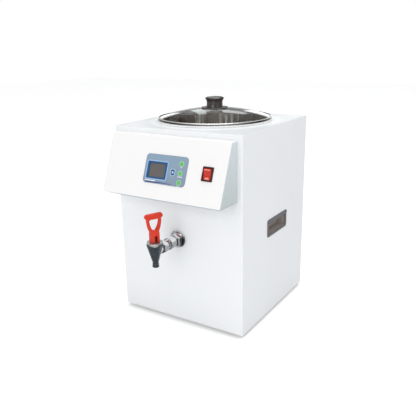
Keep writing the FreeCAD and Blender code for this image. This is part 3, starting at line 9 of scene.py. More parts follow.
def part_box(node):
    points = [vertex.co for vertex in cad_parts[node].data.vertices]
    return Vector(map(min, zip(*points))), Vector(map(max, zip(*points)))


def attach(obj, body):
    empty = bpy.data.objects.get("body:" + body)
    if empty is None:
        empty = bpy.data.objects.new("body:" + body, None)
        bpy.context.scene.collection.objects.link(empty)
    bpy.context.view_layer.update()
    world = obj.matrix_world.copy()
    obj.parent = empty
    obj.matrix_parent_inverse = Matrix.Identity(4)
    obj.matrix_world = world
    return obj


bl_info = {
    "name": "Wax Dispenser Looks",
    "version": (1, 0, 0),
    "blender": (4, 5, 0),
    "location": "3D View > Sidebar > Dispenser",
    "description": "Finishes, panel print, trim and studio for a heated wax dispenser",
    "category": "Object",
}

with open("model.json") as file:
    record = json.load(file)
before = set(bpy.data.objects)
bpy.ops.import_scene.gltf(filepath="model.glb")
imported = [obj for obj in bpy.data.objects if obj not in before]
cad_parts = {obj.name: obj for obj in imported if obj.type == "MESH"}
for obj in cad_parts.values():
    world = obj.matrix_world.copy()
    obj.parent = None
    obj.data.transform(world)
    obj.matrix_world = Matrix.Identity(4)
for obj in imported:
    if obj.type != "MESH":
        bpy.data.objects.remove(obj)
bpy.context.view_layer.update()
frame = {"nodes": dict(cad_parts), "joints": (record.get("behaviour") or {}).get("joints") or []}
MM = 0.001


# Places taken from the frame

def joint(name):
    """The joint of that name."""
    return next(item for item in frame["joints"] if item["name"] == name)


def panel_place():
    """Matrix from panel coordinates (across, up the slope, outward) to the object's frame.

    Its origin lies on the overlay's face, above the middle of the cabinet, at the overlay's lower edge.
    """
    outward = -Vector(joint("set_press")["axis"]).normalized()
    across = Vector((1, 0, 0))
    up = outward.cross(across)
    points = [v.co for v in frame["nodes"]["display_overlay"].data.vertices]
    face = max(outward.dot(p) for p in points)
    low = min(up.dot(p) for p in points)
    origin = outward * face + up * low
    return Matrix.Translation(origin) @ Matrix((across, up, outward)).transposed().to_4x4()


PANEL = panel_place()


def on_panel(node):
    """Middle, lowest and highest corner of a node's box in panel coordinates."""
    away = PANEL.inverted()
    points = [away @ v.co for v in frame["nodes"][node].data.vertices]
    low = Vector([min(p[i] for p in points) for i in range(3)])
    high = Vector([max(p[i] for p in points) for i in range(3)])
    return (low + high) / 2, low, high


# Settings a user would change

def colour_setting(name, description, default):
    return bpy.props.FloatVectorProperty(
        name=name, description=description, subtype="COLOR", size=3, default=default, min=0, max=1)


def length_setting(name, description, default, least):
    return bpy.props.FloatProperty(
        name=name, description=description, unit="LENGTH", default=default, min=least)


def light_setting(name, description, default):
    return bpy.props.FloatProperty(name=name, description=description, default=default, min=0)


def turn_setting(name, description, degrees):
    return bpy.props.FloatProperty(
        name=name, description=description, subtype="ANGLE", default=math.radians(degrees))


class CoatSettings(bpy.types.PropertyGroup):
    """The cabinet's coat."""
    colour: colour_setting("Coat colour", "Colour of the powder coat", (0.868, 0.890, 0.905))
    peel: length_setting("Peel size", "Width of the ripples in the powder coat", 0.0011, 0.0002)


class PanelSettings(bpy.types.PropertyGroup):
    """Print and marks on the control panel."""
    overlay: colour_setting("Overlay colour", "Upper colour of the overlay film", (0.255, 0.365, 0.475))
    overlay_low: colour_setting("Overlay lower colour", "Lower colour of the overlay film",
                                (0.235, 0.305, 0.42))
    frame_blue: colour_setting("Screen frame colour", "Colour of the frame round the screen",
                               (0.012, 0.095, 0.26))
    button: colour_setting("Button colour", "Colour of the push buttons", (0.15, 0.52, 0.16))
    print_height: length_setting("Print height", "Thickness of the printed marks", 0.00008, 0.00002)
    ring_width: length_setting("Ring width", "Width of the pale ring in a button's face", 0.0012, 0.0002)
    mark_size: length_setting("Mark size", "Size of the mark on a button", 0.0036, 0.001)


class TapSettings(bpy.types.PropertyGroup):
    """Colours of the tap."""
    handle: colour_setting("Handle colour", "Colour of the lift handle", (0.69, 0.036, 0.011))
    body: colour_setting("Tap body colour", "Colour of the moulded tap body", (0.026, 0.040, 0.050))


class StudioSettings(bpy.types.PropertyGroup):
    """Camera, lamps and room."""
    lens: bpy.props.FloatProperty(
        name="Lens", description="Focal length on a 36 mm sensor, in millimetres", default=45.70, min=10)
    azimuth: turn_setting("Azimuth", "Camera's turn round the object", 32.3276)
    elevation: turn_setting("Elevation", "Camera's height above the horizon", 17.1795)
    roll: turn_setting("Roll", "Camera's turn about its own axis", -1.0381)
    offset: bpy.props.FloatVectorProperty(
        name="Camera place", description="From the middle of the cabinet's lower front edge",
        subtype="TRANSLATION", unit="LENGTH", size=3, default=(0.6094, -0.8434, 0.5726))
    key: light_setting("Key lamp", "Power of the front lamp in watts", 21)
    side: light_setting("Side lamp", "Power of the right lamp in watts", 5)
    top: light_setting("Top lamp", "Power of the top lamp in watts", 30)
    room: light_setting("Room light", "Strength of the room", 0.72)
    glare: light_setting("Window glare", "Extra strength of the window in mirrored light", 1.7)


# Node networks

class Net:
    """A short way to write a node network."""

    def __init__(self, tree):
        self.tree = tree

    def add(self, kind, settings=None, feeds=None, out=0):
        """Adds a node, sets its options, feeds its inputs and returns one output."""
        item = self.tree.nodes.new(kind)
        for name, value in (settings or {}).items():
            setattr(item, name, value)
        for name, value in (feeds or {}).items():
            self.feed(item.inputs[name], value)
        return item.outputs[out]

    def feed(self, socket, value):
        """Links a socket or sets a value. A colour may leave out its alpha."""
        if isinstance(value, bpy.types.NodeSocket):
            self.tree.links.new(value, socket)
        elif socket.type == "RGBA" and len(value) == 3:
            socket.default_value = (*value, 1)
        else:
            socket.default_value = value

    def maths(self, operation, a, b=0.0):
        return self.add("ShaderNodeMath", {"operation": operation}, {0: a, 1: b})

    def plus(self, a, b):
        return self.maths("ADD", a, b)

    def minus(self, a, b):
        return self.maths("SUBTRACT", a, b)

    def times(self, a, *others):
        for other in others:
            a = self.maths("MULTIPLY", a, other)
        return a

    def most(self, a, *others):
        for other in others:
            a = self.maths("MAXIMUM", a, other)
        return a

    def gap(self, value, centre):
        """How far a value lies from a centre, to either side."""
        return self.maths("ABSOLUTE", self.minus(value, centre))

    def radius(self, a, b):
        """Distance from an axis, from the two coordinates square to it."""
        return self.maths("SQRT", self.plus(self.times(a, a), self.times(b, b)))

    def along(self, vector, direction):
        """How far a vector reaches along a direction."""
        return self.add("ShaderNodeVectorMath", {"operation": "DOT_PRODUCT"}, {0: vector, 1: direction}, 1)

    def spread(self, value, low, high, to_low=0.0, to_high=1.0):
        """Carries a value from one range to another, held at both ends."""
        return self.add("ShaderNodeMapRange", {"clamp": True},
                        {"Value": value, "From Min": low, "From Max": high, "To Min": to_low, "To Max": to_high})

    def noise(self, vector, scale, detail=2.0, rough=0.5, distortion=0.0):
        return self.add("ShaderNodeTexNoise", {}, {"Vector": vector, "Scale": scale, "Detail": detail,
                                                   "Roughness": rough, "Distortion": distortion})

    def mapped(self, vector, scale=(1, 1, 1), turn=(0, 0, 0), shift=(0, 0, 0)):
        """A vector stretched, then turned, then shifted."""
        return self.add("ShaderNodeMapping", {}, {"Vector": vector, "Scale": scale, "Rotation": turn,
                                                  "Location": shift})

    def joined(self, x, y, z):
        return self.add("ShaderNodeCombineXYZ", {}, {0: x, 1: y, 2: z})

    def parts(self, vector):
        """The three coordinates of a vector."""
        split = self.tree.nodes.new("ShaderNodeSeparateXYZ")
        self.feed(split.inputs[0], vector)
        return split.outputs[0], split.outputs[1], split.outputs[2]

    def mixed(self, share, a, b, blend="MIX"):
        return self.add("ShaderNodeMix", {"data_type": "RGBA", "blend_type": blend}, {0: share, 6: a, 7: b}, 2)

    def shade(self, colour, factor):
        """A colour made lighter or darker by a factor."""
        grey = self.add("ShaderNodeCombineColor", {}, {0: factor, 1: factor, 2: factor})
        return self.mixed(1.0, colour, grey, "MULTIPLY")

    def light_path(self):
        return self.tree.nodes.new("ShaderNodeLightPath").outputs


class FinishGroup(Net):
    """A shader group that takes a vector, a colour and more, and gives a colour, a roughness and a height."""

    def __init__(self, name, colour, **inputs):
        super().__init__(bpy.data.node_groups.new(name, "ShaderNodeTree"))
        self.socket("INPUT", "Vector", "Vector")
        self.socket("INPUT", "Colour", "Color").default_value = (*colour, 1)
        for label, default in inputs.items():
            kind = "Vector" if isinstance(default, tuple) else "Float"
            self.socket("INPUT", label, kind).default_value = default
        for label, kind in (("Colour", "Color"), ("Roughness", "Float"), ("Height", "Float")):
            self.socket("OUTPUT", label, kind)
        self.given = self.tree.nodes.new("NodeGroupInput").outputs
        self.vector = self.given["Vector"]

    def socket(self, way, label, kind):
        return self.tree.interface.new_socket(name=label, in_out=way, socket_type="NodeSocket" + kind)

    def give(self, tone, roughness, height):
        """Ties the outputs, with the given colour shaded by a tone, and returns the tree."""
        result = self.tree.nodes.new("NodeGroupOutput").inputs
        self.feed(result["Colour"], self.shade(self.given["Colour"], tone))
        self.feed(result["Roughness"], roughness)
        self.feed(result["Height"], height)
        return self.tree


def powder_coat_group():
    """Powder coat: fine ripples, a faint drift of tone and light handling marks."""
    net = FinishGroup("Powder Coat", (0.8, 0.8, 0.8), Peel=900.0, Roughness=0.34)
    ripple = net.noise(net.vector, net.given["Peel"], 3.0, 0.55)
    drift = net.noise(net.vector, 5.0, 3.0, 0.6)
    marks = net.noise(net.mapped(net.vector, (9, 9, 4)), 3.0, 5.0, 0.65, 0.4)
    tone = net.times(net.spread(drift, 0.3, 0.7, 0.985, 1.01), net.spread(ripple, 0.2, 0.8, 0.992, 1.006))
    return net.give(tone, net.plus(net.given["Roughness"], net.spread(marks, 0.45, 0.75, -0.03, 0.10)), ripple)


def brushed_group():
    """Brushed sheet: long fine scratches along one direction."""
    net = FinishGroup("Brushed Grain", (0.6, 0.6, 0.6), Stretch=(1, 1, 1), Roughness=0.3, Contrast=0.12)
    scaled = net.add("ShaderNodeVectorMath", {"operation": "MULTIPLY"}, {0: net.vector, 1: net.given["Stretch"]})
    fine = net.noise(scaled, 60.0, 4.0, 0.7)
    broad = net.noise(scaled, 11.0, 2.0, 0.5)
    both = net.plus(net.times(fine, 0.65), net.times(broad, 0.35))
    swing = net.times(net.minus(both, 0.5), net.given["Contrast"])
    return net.give(net.plus(1.0, net.times(swing, 2.0)), net.plus(net.given["Roughness"], swing), fine)


def turned_group():
    """Turned metal: fine rings about the vector's own Z axis."""
    net = FinishGroup("Turned Rings", (0.6, 0.6, 0.6), Pitch=3000.0, Roughness=0.2, Contrast=0.08)
    x, y, z = net.parts(net.vector)
    out = net.radius(x, y)
    around = net.maths("ARCTAN2", y, x)
    place = net.joined(net.times(net.plus(out, z), net.given["Pitch"]), net.times(around, 0.6), 0.0)
    rings = net.noise(place, 1.0, 3.0, 0.6)
    stain = net.noise(net.vector, 60.0, 4.0, 0.6)
    swing = net.times(net.minus(rings, 0.5), net.given["Contrast"])
    tone = net.plus(net.plus(1.0, swing), net.spread(stain, 0.35, 0.7, -0.02, 0.02))
    rough = net.plus(swing, net.spread(stain, 0.5, 0.8, 0.0, 0.08))
    return net.give(tone, net.plus(net.given["Roughness"], rough), rings)


def moulded_group():
    """Moulded plastic: spark texture, faint flow marks and a soft bloom."""
    net = FinishGroup("Moulded Skin", (0.1, 0.1, 0.1), Grain=1500.0, Roughness=0.4, Bloom=0.06)
    grain = net.noise(net.vector, net.given["Grain"], 3.0, 0.6)
    flow = net.noise(net.mapped(net.vector, (30, 30, 90)), 1.0, 3.0, 0.55, 0.8)
    bloom = net.times(net.spread(flow, 0.4, 0.75, -0.5, 1.0), net.given["Bloom"])
    tone = net.plus(net.spread(grain, 0.25, 0.75, 0.97, 1.03), bloom)
    return net.give(tone, net.plus(net.given["Roughness"], net.times(bloom, 1.2)), grain)


def wool_group():
    """Mineral wool: short crossed fibres and soft clumps."""
    net = FinishGroup("Wool Fibre", (0.6, 0.55, 0.45), Fibre=240.0)
    one = net.noise(net.mapped(net.vector, (1, 6, 2)), net.given["Fibre"], 5.0, 0.7, 1.2)
    two = net.noise(net.mapped(net.vector, (5, 1, 3), (0.4, 0.9, 0.2)), net.given["Fibre"], 5.0, 0.7, 1.0)
    clump = net.noise(net.vector, 30.0, 4.0, 0.6)
    weft = net.most(one, two)
    tone = net.times(net.spread(weft, 0.4, 0.75, 0.78, 1.12), net.spread(clump, 0.3, 0.7, 0.9, 1.05))
    return net.give(tone, net.spread(weft, 0.3, 0.8, 0.98, 0.82), weft)


GROUP_MAKERS = {"coat": powder_coat_group, "brushed": brushed_group, "turned": turned_group,
                "moulded": moulded_group, "wool": wool_group}
GROUPS = {}


def group(name):
    """Builds each group once."""
    if name not in GROUPS:
        GROUPS[name] = GROUP_MAKERS[name]()
    return GROUPS[name]


class Finish:
    """A material with its Principled shader, object coordinates and one finish group."""

    def __init__(self, name, **shader):
        self.material = bpy.data.materials.new(name)
        self.material.use_nodes = True
        self.net = Net(self.material.node_tree)
        self.shader = self.material.node_tree.nodes["Principled BSDF"]
        for socket, value in shader.items():
            self.net.feed(self.shader.inputs[socket.replace("_", " ")], value)
        self.place = self.net.add("ShaderNodeTexCoord", out="Object")

    def apply(self, kind, bump=0.1, step=0.1 * MM, vector=None, **feeds):
        """Places a finish group, feeds its inputs and ties it to the shader."""
        item = self.material.node_tree.nodes.new("ShaderNodeGroup")
        item.node_tree = group(kind)
        self.net.feed(item.inputs["Vector"], vector or self.place)
        for socket, value in feeds.items():
            self.net.feed(item.inputs[socket], value)
        self.grained = item.outputs["Colour"]
        self.colour(self.grained)
        self.net.feed(self.shader.inputs["Roughness"], item.outputs["Roughness"])
        if bump:
            rise = self.net.add("ShaderNodeBump", {}, {"Strength": bump, "Distance": step,
                                                       "Height": item.outputs["Height"]})
            self.net.feed(self.shader.inputs["Normal"], rise)
        return self

    def colour(self, value):
        self.net.feed(self.shader.inputs["Base Color"], value)

    def metallic(self, value):
        self.net.feed(self.shader.inputs["Metallic"], value)

    def about(self, node):
        """Object coordinates measured from a node's upright middle line."""
        middle = middle_of(node)
        return self.net.mapped(self.place, shift=(-middle.x, -middle.y, 0))


def middle_of(node):
    low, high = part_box(node)
    return (low + high) / 2


def dress(finish, *nodes):
    """Gives carried-over nodes a finish."""
    for name in nodes:
        mesh = frame["nodes"][name].data
        if not mesh.materials:
            mesh.materials.append(finish.material)
        for slot in frame["nodes"][name].material_slots:
            slot.material = finish.material


# Modelling by hand

def clear():
    """Nothing selected, in object mode."""
    if active() and active().mode != "OBJECT":
        leave()
    bpy.ops.object.select_all(action="DESELECT")


def active():
    return bpy.context.object


def enter():
    bpy.ops.object.mode_set(mode="EDIT")


def leave():
    bpy.ops.object.mode_set(mode="OBJECT")


def pick(kind, test):
    """Selects the active piece's edges or faces that pass the test, and enters edit mode."""
    enter()
    bpy.ops.mesh.select_mode(type=kind)
    bpy.ops.mesh.select_all(action="DESELECT")
    leave()
    mesh = active().data
    for item in (mesh.edges if kind == "EDGE" else mesh.polygons):
        item.select = test(item)
    enter()


def pick_faces(test):
    """Picks the faces whose normal passes the test."""
    pick("FACE", lambda face: test(face.normal))


def bevelled(width, segments, angle=30):
    """Rounds the active piece's edges that are sharper than an angle in degrees."""
    bpy.ops.object.modifier_add(type="BEVEL")
    rounding = active().modifiers[-1]
    rounding.width = width
    rounding.segments = segments
    rounding.limit_method = "ANGLE"
    rounding.angle_limit = math.radians(angle)
    bpy.ops.object.modifier_apply(modifier=rounding.name)


SMOOTH_ANGLE = math.radians(35)
WELD_DISTANCE = 0.002 * MM
SAME_PLACE = 0.0001 * MM
BAR_CORNER = 0.5 * MM


def settle(name, body, finish, place=PANEL):
    """Moves the active piece to its place, names it, finishes it and lets it ride."""
    piece = active()
    piece.matrix_world = place @ piece.matrix_world
    bpy.ops.object.transform_apply()
    enter()
    bpy.ops.mesh.select_all(action="SELECT")
    bpy.ops.mesh.remove_doubles(threshold=WELD_DISTANCE)
    bpy.ops.mesh.normals_make_consistent(inside=False)
    leave()
    bpy.ops.object.shade_smooth_by_angle(angle=SMOOTH_ANGLE)
    piece.name = name
    piece.data.name = name
    piece.data.materials.clear()
    piece.data.materials.append(finish.material)
    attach(piece, body)
    clear()


def plate(x, y, z, wide, tall, thick):
    """Flat block with its middle at x, y and its underside at z."""
    clear()
    bpy.ops.mesh.primitive_cube_add(size=1, location=(x, y, z + thick / 2))
    active().scale = (wide, tall, thick)
    bpy.ops.object.transform_apply()


def printed_plate(name, ink):
    """Settles the active plate as print on the overlay."""
    settle(name, "cabinet", ink)


def rounded_corners(radius=BAR_CORNER, segments=3):
    """Rounds the active plate's four upright edges."""
    def upright(edge):
        a, b = (active().data.vertices[i].co for i in edge.vertices)
        return (a - b).xy.length < SAME_PLACE

    pick("EDGE", upright)
    bpy.ops.mesh.bevel(offset=radius, segments=segments, affect="EDGES")
    leave()


# Plain finishes: shader settings, finish group, and how the group is applied

METAL = dict(Metallic=1.0)
PLAIN_FINISHES = {
    "Zinc Sheet": (METAL, "brushed", dict(
        Colour=(0.60, 0.61, 0.62), Stretch=(14.0, 0.5, 14.0), Roughness=0.38, Contrast=0.22,
        bump=0.12)),
    "Heater Sheet": (METAL, "brushed", dict(
        Colour=(0.46, 0.42, 0.38), Stretch=(2.0, 2.0, 30.0), Roughness=0.36, Contrast=0.25,
        bump=0.12)),
    "Bright Screw": (METAL, "turned", dict(
        Colour=(0.68, 0.68, 0.69), Pitch=4000.0, Roughness=0.24, Contrast=0.10, bump=0.05)),
    "Nickelled Brass": (METAL, "turned", dict(
        Colour=(0.70, 0.58, 0.32), Pitch=3600.0, Roughness=0.22, Contrast=0.08, bump=0.04)),
    # The tap's stem, with a greased brown cast
    "Stem Steel": (dict(Metallic=0.8), "turned", dict(
        Colour=(0.17, 0.13, 0.09), Pitch=2600.0, Roughness=0.36, Contrast=0.15, bump=0.05)),
    "Black Rubber": (dict(Specular_IOR_Level=0.35), "moulded", dict(
        Colour=(0.022, 0.021, 0.021), Grain=1100.0, Roughness=0.68, Bloom=0.10, bump=0.25)),
    "Black Moulding": (dict(), "moulded", dict(
        Colour=(0.028, 0.028, 0.030), Grain=1900.0, Roughness=0.44, Bloom=0.07, bump=0.18)),
    "Switch Moulding": (dict(Coat_Weight=0.2, Coat_Roughness=0.2), "moulded", dict(
        Colour=(0.050, 0.016, 0.014), Grain=2000.0, Roughness=0.34, Bloom=0.06, bump=0.10)),
    "Rocker Red": (dict(Coat_Weight=0.5, Coat_Roughness=0.08), "moulded", dict(
        Colour=(0.58, 0.034, 0.018), Grain=1800.0, Roughness=0.24, Bloom=0.10, bump=0.03)),
    "Silicone": (dict(Transmission_Weight=0.2), "moulded", dict(
        Colour=(0.70, 0.68, 0.62), Grain=1500.0, Roughness=0.5, Bloom=0.04, bump=0.10)),
    "Pale Seal": (dict(), "moulded", dict(
        Colour=(0.74, 0.75, 0.76), Grain=1500.0, Roughness=0.5, Bloom=0.04, bump=0.10)),
    "Mineral Wool": (dict(Sheen_Weight=0.3, Sheen_Roughness=0.6), "wool", dict(
        Colour=(0.62, 0.57, 0.45), Fibre=260.0, bump=0.7, step=0.8 * MM)),
    "Screen Frame": (dict(Coat_Weight=0.4, Coat_Roughness=0.12), "moulded", dict(
        Grain=2200.0, Roughness=0.30, Bloom=0.05, bump=0.05)),
    "Handle Red": (dict(Coat_Weight=0.25, Coat_Roughness=0.12, Specular_IOR_Level=0.35), "moulded", dict(
        Grain=1300.0, Roughness=0.33, Bloom=0.06, bump=0.08)),
}
INKS = {
    "Indicator Blue": (0.42, 0.66, 0.90), "White Ink": (0.88, 0.90, 0.93), "Deep Green Ink": (0.035, 0.33, 0.05),
    "Edge Ink": (0.25, 0.29, 0.39), "Pale Line Ink": (0.86, 0.90, 0.94), "Navy Ink": (0.030, 0.075, 0.22),
    "Sky Ink": (0.36, 0.56, 0.86), "Halo Ink": (0.50, 0.72, 0.90), "Rocker Mark Ink": (0.90, 0.30, 0.24),
}


def plain(name, **more):
    """A finish from the table of plain finishes. What the table leaves out is fed here."""
    shader, kind, feeds = PLAIN_FINISHES[name]
    return Finish(name, **shader).apply(kind, **feeds, **more)


def printed(name):
    """Screen-printed ink with a slightly uneven laydown."""
    return Finish(name).apply("moulded", bump=0.05, Colour=INKS[name], Grain=3200.0, Roughness=0.42, Bloom=0.03)


# Finishes that change over a piece

# Level directions as the photograph's camera sees them
RIGHTWARD = (0.845, 0.535, 0)
AWAY = (-0.535, 0.845, 0)
NEARWARD = (0.535, -0.845, 0)


def new_coat(name):
    return Finish(name, Metallic=0.0, Coat_Weight=0.12, Coat_Roughness=0.18)


def rippled(coat, colour, settings):
    """Gives a coat its colour and its ripples."""
    return coat.apply("coat", bump=0.10, step=0.08 * MM, Colour=colour, Peel=1.0 / settings.peel, Roughness=0.36)


def tinted(colour, factors):
    """A colour with each of its parts multiplied."""
    return tuple(min(part * factor, 1.0) for part, factor in zip(colour, factors))


def white_coat(settings):
    return rippled(new_coat("Powder Coat White"), settings.colour, settings)


# Painted light on the top plate's flat round the lid, and painted shade towards its corners
TOP_PAINTED_LIGHT = (0.93, 0.96, 0.975)
TOP_CORNER_PAINTED_SHADE = (0.905, 0.92, 0.92)
TOP_PAINTED_LIGHT_RADIUS = 138 * MM
TOP_PAINTED_SHADE_RADIUS = 150 * MM


def top_coat(settings):
    """The top plate's coat, with painted light on its flat round the lid and painted shade towards its corners.
    """
    coat = new_coat("Powder Coat Top")
    net = coat.net
    x, y, z = net.parts(coat.about("lid_rim"))
    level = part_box("top_plate")[1].z
    flat = net.spread(z, level - 1.0 * MM, level - 0.3 * MM)
    # Painted shade beyond the outer radius, painted light within the inner one, on the flat face only
    corner = net.times(net.spread(net.radius(x, y), TOP_PAINTED_LIGHT_RADIUS, TOP_PAINTED_SHADE_RADIUS), flat)
    colour = net.mixed(corner, net.mixed(flat, settings.colour, TOP_PAINTED_LIGHT),
                       tinted(settings.colour, TOP_CORNER_PAINTED_SHADE))
    return rippled(coat, colour, settings)


# Painted shade on the control box's two sides, deeper low down, and along the foot of its face
BOX_FACE_TINT = (1.03, 1.0, 0.985)
BOX_SIDE_PAINTED_SHADE_LOW = (0.635, 0.69, 0.685)
BOX_SIDE_PAINTED_SHADE_HIGH = (0.76, 0.81, 0.835)
BOX_HEM_PAINTED_SHADE = (0.50, 0.57, 0.63)


def box_coat(settings):
    """The control box's coat, with painted shade on its two sides, deeper towards their foot, and painted shade
    along its hem, but for the hem's left end.
    """
    coat = new_coat("Powder Coat Box")
    net = coat.net
    low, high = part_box("control_box")
    x, _, z = net.parts(coat.place)
    side = net.spread(net.maths("ABSOLUTE", x), high.x - 1.2 * MM, high.x - 0.3 * MM)
    flank = net.mixed(net.spread(z, low.z, high.z), tinted(settings.colour, BOX_SIDE_PAINTED_SHADE_LOW),
                      tinted(settings.colour, BOX_SIDE_PAINTED_SHADE_HIGH))
    face = net.mixed(side, tinted(settings.colour, BOX_FACE_TINT), flank)
    # Painted shade along the hem, fading out towards its left end
    hem_shade = net.times(net.spread(z, low.z + 2.8 * MM, low.z + 1.8 * MM),
                    net.spread(x, low.x + 5 * MM, low.x + 50 * MM))
    return rippled(coat, net.mixed(hem_shade, face, tinted(settings.colour, BOX_HEM_PAINTED_SHADE)), settings)


# Painted reflections, as pale streaks on the tank's wall: bearing from the tank's axis in radians, half width,
# strength
PAINTED_REFLECTION_STREAKS = ((2.50, 0.05, 0.45), (2.437, 0.024, 1.0), (2.37, 0.02, 0.6), (2.004, 0.034, 0.75),
                (1.886, 0.032, 1.0), (1.765, 0.030, 1.0), (1.63, 0.03, 0.4))
TANK_WARM = (0.52, 0.38, 0.27)
TANK_DARK = (0.30, 0.22, 0.16)
TANK_LIGHT = (1.0, 0.98, 0.95)
TANK_PAINTED_REFLECTION = (0.97, 1.0, 0.98)
TANK_RIM = (0.92, 0.92, 0.91)
TANK_WALL_RADIUS = 112 * MM
TANK_FLOOR_RADIUS = 108 * MM


def drawn_tank():
    """Satin stainless with a warm brown cast: upright grain and painted reflections as pale streaks on the wall,
    rings on the floor.
    """
    tank = Finish("Tank Stainless", Metallic=1.0)
    net = tank.net
    rim_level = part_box("tank")[1].z
    x, y, z = net.parts(tank.about("lid_rim"))
    around = net.maths("ARCTAN2", y, x)
    out = net.radius(x, y)
    wall = net.spread(out, TANK_FLOOR_RADIUS, TANK_WALL_RADIUS)
    rings = net.times(out, 12, net.minus(1.0, wall))
    wrap = net.joined(net.plus(net.times(net.maths("SINE", around), wall), rings),
                      net.times(net.maths("COSINE", around), wall), net.times(z, 0.35))
    tank.apply("brushed", vector=wrap, bump=0.10, Colour=TANK_WARM, Stretch=(1.6, 1.6, 0.7), Roughness=0.30,
               Contrast=0.40)
    tone = net.noise(wrap, 3.4, 2.0, 0.5)
    inside = net.mixed(0.5, tank.grained, net.mixed(net.spread(tone, 0.53, 0.58), TANK_DARK, TANK_LIGHT))
    # Painted reflections: pale streaks at a few bearings, where the steel is also made less metallic
    pale = 0.0
    for bearing, half, level in PAINTED_REFLECTION_STREAKS:
        pale = net.most(pale, net.spread(net.gap(around, bearing), half, half / 2, 0.0, level))
    pale = net.times(pale, wall)
    rolled = net.spread(z, rim_level - 4.2 * MM, rim_level - 3.4 * MM)
    tank.colour(net.mixed(rolled, net.mixed(pale, inside, TANK_PAINTED_REFLECTION), TANK_RIM))
    tank.metallic(net.minus(1.0, net.times(net.most(rolled, pale), 0.85)))
    return tank


# Painted shade on the lid's rim: along its lower lip, deepest at the flanks, and in a line behind them
RIM_BRIGHT = (0.90, 0.90, 0.89)
RIM_REAR_PAINTED_SHADE = (0.05, 0.05, 0.052)
RIM_LIP_PAINTED_SHADE_FRONT = (0.22, 0.22, 0.23)
RIM_LIP_PAINTED_SHADE_FLANK = (0.016, 0.016, 0.018)


def polished_rim():
    """Bright pressed steel with painted shade: a dark lower lip, darkest at its two flanks, and a dark line
    behind them.
    """
    rim = Finish("Polished Rim")
    net = rim.net
    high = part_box("lid_rim")[1]
    radius = high.x - middle_of("lid_rim").x
    centred = rim.about("lid_rim")
    x, y, z = net.parts(centred)
    aside = net.maths("ABSOLUTE", net.along(centred, RIGHTWARD))
    flank = net.spread(aside, 25 * MM, 90 * MM)
    rear_shade = net.times(net.spread(net.along(centred, AWAY), -10 * MM, 15 * MM),
                     net.spread(aside, 60 * MM, 95 * MM))
    outer = net.spread(net.radius(x, y), radius - 0.9 * MM, radius - 0.5 * MM)
    lip = net.spread(net.minus(z, net.times(flank, 0.8 * MM)), high.z - 1.5 * MM, high.z - 2.1 * MM)
    dark = net.times(outer, lip)
    colour = net.mixed(dark, net.mixed(rear_shade, RIM_BRIGHT, RIM_REAR_PAINTED_SHADE),
                       net.mixed(flank, RIM_LIP_PAINTED_SHADE_FRONT, RIM_LIP_PAINTED_SHADE_FLANK))
    rim.apply("turned", vector=centred, bump=0.03, Colour=colour, Pitch=2600.0, Roughness=0.16, Contrast=0.08)
    rim.metallic(net.spread(dark, 0, 1, 0.55, 0.85))
    return rim


CHROME = (0.92, 0.93, 0.935)
CHROME_SHADE = (0.15, 0.155, 0.16)
CHROME_SLIM_SHADE = (0.40, 0.41, 0.42)


def from_shank(net, place):
    """The x coordinate, the height over the shank's level axis, and the distance from that axis."""
    x, _, z = net.parts(place)
    rise = net.minus(z, middle_of("tap_shank").z)
    return x, rise, net.radius(x, rise)


def chrome_plate():
    """Chrome on the turned tap fittings, with painted shade down the right flank, and less of it on the slimmer
    ones.
    """
    chrome = Finish("Chrome Plate", Metallic=1.0)
    net = chrome.net
    x, rise, out = from_shank(net, chrome.place)
    flank = net.maths("DIVIDE", net.minus(x, net.times(rise, 0.25)), out)
    # Painted shade down the right flank of the wider fittings, as the camera sees them
    flank_shade = net.times(net.spread(flank, 0.70, 0.90), net.spread(out, 8 * MM, 9 * MM))
    shade = net.mixed(net.spread(out, 15 * MM, 14 * MM), CHROME_SHADE, CHROME_SLIM_SHADE)
    level_axis = net.mapped(chrome.place, turn=(math.pi / 2, 0, 0))
    return chrome.apply("turned", vector=level_axis, bump=0.02, Colour=net.mixed(flank_shade, CHROME, shade),
                        Pitch=1500.0, Roughness=0.11, Contrast=0.05)


# Painted highlight at the bonnet's front corner, facing the camera, and painted shade down its flats
NICKEL_TOP = (0.46, 0.48, 0.47)
NICKEL_TOP_PAINTED_HIGHLIGHT = (0.97, 0.97, 0.95)
NICKEL_FLAT_PAINTED_SHADE = (0.20, 0.22, 0.22)
NICKEL_FLAT_PAINTED_HIGHLIGHT = (0.75, 0.76, 0.75)


def satin_nickel():
    """Satin plate of the bonnet, with a painted highlight at its front corner and painted shade down its flats.
    """
    nickel = Finish("Satin Nickel", Metallic=0.75)
    net = nickel.net
    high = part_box("tap_bonnet")[1]
    axis = joint("handle_swivel")["pos_m"]
    centred = net.mapped(nickel.place, shift=(-axis[0], -axis[1], 0))
    down = net.spread(net.parts(centred)[2], high.z - 1.4 * MM, high.z - 2.4 * MM)
    corner = net.spread(net.along(centred, NEARWARD), 12 * MM, 15 * MM)
    colour = net.mixed(down, net.mixed(corner, NICKEL_TOP, NICKEL_TOP_PAINTED_HIGHLIGHT),
                       net.mixed(corner, NICKEL_FLAT_PAINTED_SHADE, NICKEL_FLAT_PAINTED_HIGHLIGHT))
    return nickel.apply("turned", bump=0.03, Colour=colour, Pitch=2200.0, Roughness=0.22, Contrast=0.08)


SIDE_PORT_RADIUS = 9.3 * MM
SIDE_PORT_START = 8.5 * MM
PORT_PLATE = (0.80, 0.805, 0.81)


